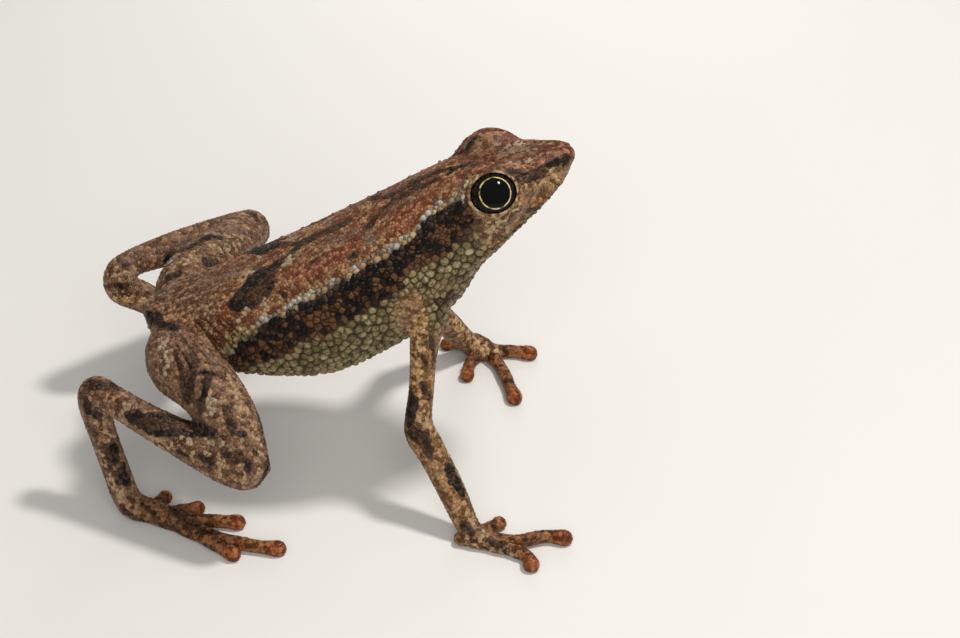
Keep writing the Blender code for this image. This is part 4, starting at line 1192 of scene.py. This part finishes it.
def dress_skin(body):
    """Raises the granules on the skin and writes the shares of its colours on its points."""
    rng = np.random.default_rng(SEED)
    mesh = body.data
    places, normals = places_of(mesh), places_of(mesh, "normal")
    surface = BVHTree.FromObject(body, bpy.context.evaluated_depsgraph_get())

    # The finest granules come first, and the coarser ones are thinned out of them.
    fine = spread_seeds(places, np.full(len(places), FINEST_GRANULE), rng)
    zones = skin_zones(surface, places[fine], normals[fine])
    zones["spacing"] *= rng.uniform(*UNEVEN, len(fine))
    kept = spread_seeds(places[fine], zones["spacing"], rng)
    seeds = fine[kept]
    zones = {name: values[kept] for name, values in zones.items()}
    shares = marks_of(surface, places[seeds], zones, rng)

    tree = tree_of(places[seeds])
    found = [tree.find_n(place, NEIGHBOURS) for place in places]
    near = np.array([[item[1] for item in row] for row in found])
    away = np.array([[item[2] for item in row] for row in found])
    own = near[:, 0]
    inside = np.clip((away[:, 1] - away[:, 0]) / (DOME_REACH * zones["spacing"][own]), 0, 1)
    pebble = np.maximum(zones["belly"] * PEBBLE_SHARE, zones["line"])[own]
    round_inside = np.clip(1 - away[:, 0] / (PEBBLE_RADIUS * zones["spacing"][own]), 0, 1)
    inside += (np.minimum(inside, round_inside) - inside) * pebble
    dome = 1 - (1 - inside) ** 2
    weights = 1 / (away**2 + SEED_BLUR**2)
    weights /= weights.sum(axis=1, keepdims=True)
    coarse = smooth_step(*COARSE, zones["spacing"])[own]

    def spread(values):
        """Fine granules go over into each other, and coarse ones keep a value of their own."""
        return values[own] * coarse + (values[near] * weights).sum(axis=1) * (1 - coarse)

    rims = [eye_opening(places, side) for side in (-1, 1)]
    eye_rim = np.min([np.where(forward > 0, rim, NOWHERE) for rim, forward in rims], axis=0)
    eye_gap = from_twins(places, EYE) - SOCKET_RADIUS
    clear = smooth_step(*SOCKET_EDGE, eye_gap) * smooth_step(*LID_EDGE, eye_rim)
    size = rng.uniform(*HEIGHTS, len(seeds))
    tone = rng.random(len(seeds))
    lift, slit, folds = carved(surface, places, np.where(eye_gap > SOCKET_EDGE[0], eye_rim, NOWHERE), body)
    rise = zones["relief"][own] * zones["spacing"][own] * size[own] * (dome - 0.5) * clear * (1 - slit)
    warts = spread_seeds(places[seeds], np.full(len(seeds), WART_SPACING), rng)
    wart_tree = tree_of(places[seeds][warts])
    wart = np.array([wart_tree.find(place)[2] for place in places])
    warty = (1 - zones["belly"]) * (1 - zones["band"]) * (1 - zones["digit"]) * (1 - zones["foot"])
    warty = spread(warty * (1 - zones["head"] * FEWER_WARTS) * (1 - zones["limb"] * FEWER_WARTS))
    rise += hill(wart, WART_WIDTH) * WART_RISE * warty * clear
    rise += KNOB_RISE * spread(zones["digit"] * np.sin(math.pi * KNOBS * zones["tip"]) ** 2)
    places = places + normals * (rise + lift)[:, None]
    places[:, 2] = np.maximum(places[:, 2], FLOOR_HEIGHT)
    mesh.vertices.foreach_set("co", ((places - np.array(ORIGIN)) * MM).ravel())
    mesh.update()

    layers = {name: spread(zones[name]) for name in ZONE_LAYERS}
    layers |= {colour: spread(share) for colour, share in shares.items()}
    layers["tone"] = tone[own]
    groove = GROOVE_WIDTH + (PEBBLE_GROOVE - GROOVE_WIDTH) * pebble
    layers["groove"] = 1 - smooth_step(0.0, 1.0, inside / groove)
    layers["slit"] = slit
    layers["fold"] = folds
    layers["rim"] = (1 - step_at(RIM_BAND, RIM_EDGE, eye_rim)) * (eye_gap > RIM_EDGE[0])
    for name, values in layers.items():
        attribute = mesh.attributes.new(name, "FLOAT", "POINT")
        attribute.data.foreach_set("value", values.astype(np.float32))


class Value:
    """A number on a socket of a material, on which sums are written as plain expressions."""

    def __init__(self, shader, socket):
        self.shader, self.socket = shader, socket

    def sum_of(self, operation, first, second):
        return self.shader.node("ShaderNodeMath", {"operation": operation}, {0: first, 1: second})

    def __add__(self, other):
        return self.sum_of("ADD", self, other)

    def __radd__(self, other):
        return self.sum_of("ADD", other, self)

    def __sub__(self, other):
        return self.sum_of("SUBTRACT", self, other)

    def __rsub__(self, other):
        return self.sum_of("SUBTRACT", other, self)

    def __mul__(self, other):
        return self.sum_of("MULTIPLY", self, other)

    def __rmul__(self, other):
        return self.sum_of("MULTIPLY", other, self)

    def __truediv__(self, other):
        return self.sum_of("DIVIDE", self, other)

    def __rtruediv__(self, other):
        return self.sum_of("DIVIDE", other, self)

    def __pow__(self, other):
        return self.sum_of("POWER", self, other)

    def __rpow__(self, other):
        return self.sum_of("POWER", other, self)


class Shader:
    """One material and the nodes that make its colour, gloss and grain."""

    def __init__(self, name):
        self.material = bpy.data.materials.new(name)
        self.material.use_nodes = True
        self.tree = self.material.node_tree
        self.surface = self.tree.nodes["Principled BSDF"]

    def node(self, kind, settings, inputs, output=0):
        made = self.tree.nodes.new(kind)
        for setting, value in settings.items():
            setattr(made, setting, value)
        for name, value in inputs.items():
            self.feed(made.inputs[name], value)
        return Value(self, made.outputs[output])

    def feed(self, socket, value):
        if isinstance(value, Value):
            self.tree.links.new(value.socket, socket)
        else:
            socket.default_value = (*value, 1.0) if socket.type == "RGBA" else value

    def layer(self, name):
        """A share written on the points of the mesh."""
        return self.node("ShaderNodeAttribute", {"attribute_name": name}, {}, "Fac")

    def here(self):
        return self.node("ShaderNodeTexCoord", {}, {}, "Object")

    def mix(self, share, low, high):
        """One colour going over to another as the share goes from 0 to 1."""
        return self.node("ShaderNodeMix", {"data_type": "RGBA"}, {"Factor": share, 6: low, 7: high}, 2)

    def times(self, low, high):
        settings = {"data_type": "RGBA", "blend_type": "MULTIPLY"}
        return self.node("ShaderNodeMix", settings, {"Factor": 1.0, 6: low, 7: high}, 2)

    def cloud(self, size):
        """Smooth noise from 0 to 1 with lumps of this size in millimetres."""
        inputs = {"Vector": self.here(), "Scale": 1 / (size * MM), "Detail": CLOUD_DETAIL}
        return self.node("ShaderNodeTexNoise", {}, inputs, "Fac")

    def ramp(self, value, low, high):
        """0 below low and 1 above high, with a smooth step between."""
        settings = {"interpolation_type": "SMOOTHSTEP"}
        return self.node("ShaderNodeMapRange", settings, {"Value": value, "From Min": low, "From Max": high})

    def bump(self, height, distance, strength):
        inputs = {"Height": height, "Distance": distance * MM, "Strength": strength}
        return self.node("ShaderNodeBump", {}, inputs)

    def finish(self, **inputs):
        for name, value in inputs.items():
            self.feed(self.surface.inputs[name.replace("_", " ")], value)
        return self.material


def skin_finish():
    """The skin's colours. Each is kept as its dark, usual and light grains until the end, and mixed by a fine
    grain then, so that no part of the skin is of one colour."""
    skin = Shader("toad skin")
    tone, groove, belly, tip = (skin.layer(name) for name in ("tone", "groove", "belly", "tip"))
    patch, mottle, speck, fine = (skin.cloud(size) for size in SKIN_CLOUDS)
    rough = (speck - 0.5) * EDGE_SPECK + (fine - 0.5) * EDGE_FINE + (tone - 0.5) * EDGE_TONE

    def over(share, colours, top):
        return [skin.mix(share, low, high) for low, high in zip(colours, top)]

    def patched(colours, top, where, edge, strength=1.0, roughness=PATCH_ROUGHNESS):
        """Patches of one set of colours on another, with rough edges, where a number is high."""
        return over(skin.ramp(where + rough * roughness, *edge) * strength, colours, top)

    def grained(colours, top, size, edge):
        """Grains of one set of colours among another, in loose groups."""
        return over(skin.ramp(tone + (mottle - 0.5) * size, *edge), colours, top)

    def ragged(name, strength=1.0):
        return skin.ramp(skin.layer(name) + rough, *RAGGED_EDGE) * strength

    colours = patched(BACK_BRICK, BACK_TAN, patch, BACK_PATCHES)
    colours = patched(colours, BACK_BROWN, mottle, BROWN_PATCHES, BROWN_STRENGTH)
    head = patched(HEAD_TAN, HEAD_RED, patch, HEAD_PATCHES, 1.0, HEAD_ROUGHNESS)
    colours = over(skin.layer("head"), colours, head)
    colours = over(skin.layer("cheek"), colours, patched(CHEEK_TAN, CHEEK_BROWN, mottle, LIGHT_PATCHES))
    rump = patched(RUMP_BROWN, RUMP_GREY, mottle, EVEN_PATCHES)
    colours = over(skin.layer("rump") * RUMP_STRENGTH, colours, rump)
    arm = patched(ARM_TAN, ARM_BROWN, mottle, LIGHT_PATCHES, ARM_STRENGTH)
    leg = patched(LEG_TAN, LEG_BROWN, mottle, LEG_PATCHES)
    leg = grained(leg, FLECK_ORANGE, LEG_SWAY, ORANGE_FLECKS)
    leg = over(skin.ramp(tone, *PALE_FLECKS), leg, FLECK_PALE)
    arm = over(skin.layer("leg"), arm, leg)
    arm = over(skin.layer("under") * UNDER_STRENGTH, arm, LIMB_UNDER)
    colours = over(skin.layer("limb"), colours, arm)
    colours = over(skin.layer("foot"), colours, patched(FOOT_BROWN, FOOT_RUST, mottle, EVEN_PATCHES))
    digits = patched(DIGIT_BROWN, DIGIT_RUST, mottle + tip * TIP_LIFT, DIGIT_PATCHES)
    digits = over(skin.ramp(tip, *TIP_PATCH), digits, TIP_RUST)
    colours = over(skin.layer("digit"), colours, digits)

    pearls = grained(BELLY_CREAM, BELLY_TAN, BELLY_SWAY, BELLY_GRAINS)
    colours = over(skin.layer("belly"), colours, pearls)
    shoulder = grained(BELLY_CREAM, SHOULDER_TAN, BELLY_SWAY, SHOULDER_GRAINS)
    colours = over(skin.layer("shoulder"), colours, shoulder)
    band = grained(BAND_BLACK, BAND_BROWN, BAND_SWAY, BAND_GRAINS)
    colours = over(ragged("band"), colours, band)
    colours = over(ragged("band_top", BAND_TOP_STRENGTH), colours, BAND_BLACK)
    colours = over(ragged("line"), colours, over(skin.layer("line_low"), LINE_PALE, LINE_ORANGE))
    broken = tone * BROKEN_TONE + fine * BROKEN_FINE + speck * BROKEN_SPECK - BROKEN_DOWN
    for name, mark in MARK_COLOURS.items():
        colours = over(ragged(name) * skin.ramp(broken, *BROKEN_MARKS[name]), colours, mark)
    colours = over(skin.layer("rim") * RIM_STRENGTH, colours, LID_CREAM)

    dark, usual, light = colours
    grain = 0.5 + (fine - 0.5) * GRAIN_FINE + (speck - 0.5) * GRAIN_SPECK + (tone - 0.5) * GRAIN_TONE
    colour = skin.mix(skin.ramp(grain, *DARK_GRAINS), dark, usual)
    colour = skin.mix(skin.ramp(grain, *LIGHT_GRAINS), colour, light)
    net = belly + skin.layer("band")
    fine_skin = skin.layer("limb") + skin.layer("head")
    # Painted shade: the grooves between granules, less on limbs and head, and the folds of skin are darkened.
    painted_shade = groove * (1 - net) * (GROOVE_PAINTED_SHADE - fine_skin * FINE_SKIN_LESS_SHADE) + skin.layer("fold") * FOLD_PAINTED_SHADE
    colour = skin.mix(painted_shade, colour, skin.times(dark, GROOVE_SHADE))
    # The gaps between granules of belly and band go black: partly the skin's own dark net, partly painted
    # shade.
    colour = skin.mix(groove * net * NET_AND_SHADE_STRENGTH, colour, NET_BLACK_AND_SHADE)
    # Painted shade in the slit of the mouth and the pits of the nostrils.
    colour = skin.mix(skin.layer("slit"), colour, SLIT_PAINTED_SHADE)

    gloss = SKIN_GLOSS + tone * TONE_GLOSS + groove * GROOVE_GLOSS - tip * TIP_GLOSS
    return skin.finish(
        Base_Color=colour, Roughness=gloss, Specular_IOR_Level=SKIN_SHINE,
        Normal=skin.bump(speck * 0.5 + fine * 0.5, *SKIN_BUMP),
    )


def eye_finish():
    """A wet eye: black pupil, thin pale gold ring around it, and a dark iris flecked with gold."""
    eye = Shader("toad eye")
    place = eye.here()
    x, y, z = (eye.node("ShaderNodeSeparateXYZ", {}, {"Vector": place}, axis) for axis in "XYZ")
    across = eye.node("ShaderNodeCombineXYZ", {}, {"X": x, "Y": y})
    length = eye.node("ShaderNodeVectorMath", {"operation": "LENGTH"}, {0: across}, "Value")
    radius = length / MM + (eye.cloud(RING_WAVE) - 0.5) * RING_UNEVEN
    front = eye.ramp(z, 0.0, FRONT_DEPTH * MM)
    ring = eye.ramp(radius, *RING_INNER) * (1 - eye.ramp(radius, *RING_OUTER)) * front
    iris = eye.ramp(radius, *IRIS_EDGE) * front
    flecks = eye.ramp(eye.cloud(FLECK_SIZE), *GOLD_FLECKS) * iris
    colour = eye.mix(iris, EYE_BLACK, IRIS_BROWN)
    colour = eye.mix(flecks * FLECK_STRENGTH, colour, IRIS_GOLD)
    colour = eye.mix(ring * eye.ramp(eye.cloud(RING_CLOUD), *RING_GAPS), colour, RING_GOLD)
    return eye.finish(
        Base_Color=colour, Roughness=EYE_GLOSS, Specular_IOR_Level=EYE_SHINE,
        Normal=eye.bump(eye.cloud(EYE_GRAIN), *EYE_BUMP),
    )


def floor_finish():
    floor = Shader("plain floor")
    shade = floor.mix(floor.cloud(FLOOR_CLOUD), FLOOR_PALE, FLOOR_PALER)
    return floor.finish(Base_Color=shade, Roughness=FLOOR_GLOSS + floor.cloud(FLOOR_GRAIN) * FLOOR_SWAY)


def eyeball(name, side, finish):
    """An eye with a slightly raised clear front, turned so that its own Z is the way it looks."""
    axis = lean_direction(mirrored(LOOK, side)).normalized()
    rings = []
    for i in range(1, EYE_RINGS):
        a = math.pi * i / EYE_RINGS
        swell = 1 + CORNEA_RISE * math.exp(-((a / CORNEA_ANGLE) ** 2))
        radius = EYEBALL_RADIUS * swell
        rings.append([
            Vector((math.sin(a) * math.cos(b), math.sin(a) * math.sin(b), math.cos(a))) * radius * MM
            for b in full_turn(EYE_SIDES)
        ])
    thing = loft(name, rings)
    thing.data.shade_smooth()
    thing.data.materials.append(finish)
    centre = (lean(mirrored(EYE, side)) - ORIGIN) * MM
    turn = axis.to_track_quat("Z", "Y").to_matrix().to_4x4()
    thing.matrix_world = Matrix.Translation(centre) @ turn
    return thing


def light(name, place, size, power, colour, shines_back):
    lamp = bpy.data.lights.new(name, "AREA")
    lamp.shape = "DISK"
    lamp.size = size * MM
    lamp.energy = power
    lamp.color = colour
    thing = bpy.data.objects.new(name, lamp)
    bpy.context.scene.collection.objects.link(thing)
    thing.location = Vector(place) * MM
    thing.visible_glossy = shines_back
    aim = (CAMERA_AIM - ORIGIN) * MM
    thing.rotation_euler = (aim - thing.location).to_track_quat("-Z", "Y").to_euler()


def studio():
    """Pale floor, soft light from above, and the camera where the photograph was taken from."""
    scene = bpy.context.scene
    scene.view_settings.view_transform = "Standard"
    bm = bmesh.new()
    bmesh.ops.create_grid(bm, x_segments=FLOOR_SQUARES, y_segments=FLOOR_SQUARES, size=FLOOR_SIZE * MM)
    floor = new_object("floor", bm)
    floor.data.materials.append(floor_finish())

    world = bpy.data.worlds.new("studio")
    scene.world = world
    world.use_nodes = True
    world.node_tree.nodes["Background"].inputs["Color"].default_value = (*SKY_COLOUR, 1.0)
    world.node_tree.nodes["Background"].inputs["Strength"].default_value = SKY_STRENGTH
    for lamp in LAMPS:
        light(*lamp)

    camera = bpy.data.cameras.new("camera")
    camera.sensor_width = SENSOR_WIDTH
    camera.lens = CAMERA_DISTANCE / MM_PER_PIXEL / PHOTO_SIZE[0] * SENSOR_WIDTH
    camera.clip_start = NEAREST_SEEN
    thing = bpy.data.objects.new("camera", camera)
    scene.collection.objects.link(thing)
    thing.location = (CAMERA_AIM - CAMERA_FORWARD * CAMERA_DISTANCE - ORIGIN) * MM
    thing.rotation_euler = (math.pi / 2 - CAMERA_PITCH, 0, 0)
    scene.camera = thing


def toad():
    skin = bare_body()
    skin.name = skin.data.name = "skin"
    dress_skin(skin)
    skin.data.materials.clear()
    skin.data.materials.append(skin_finish())
    skin.data.shade_smooth()
    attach(skin, "root")
    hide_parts(*(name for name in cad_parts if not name.startswith("eye")))
    wet = eye_finish()
    for name, node, side in (("eyeball_r", "eye_r", -1), ("eyeball_l", "eye_l", 1)):
        eye = eyeball(name, side, wet)
        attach(eye, "root")
        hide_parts(node)


toad()
studio()
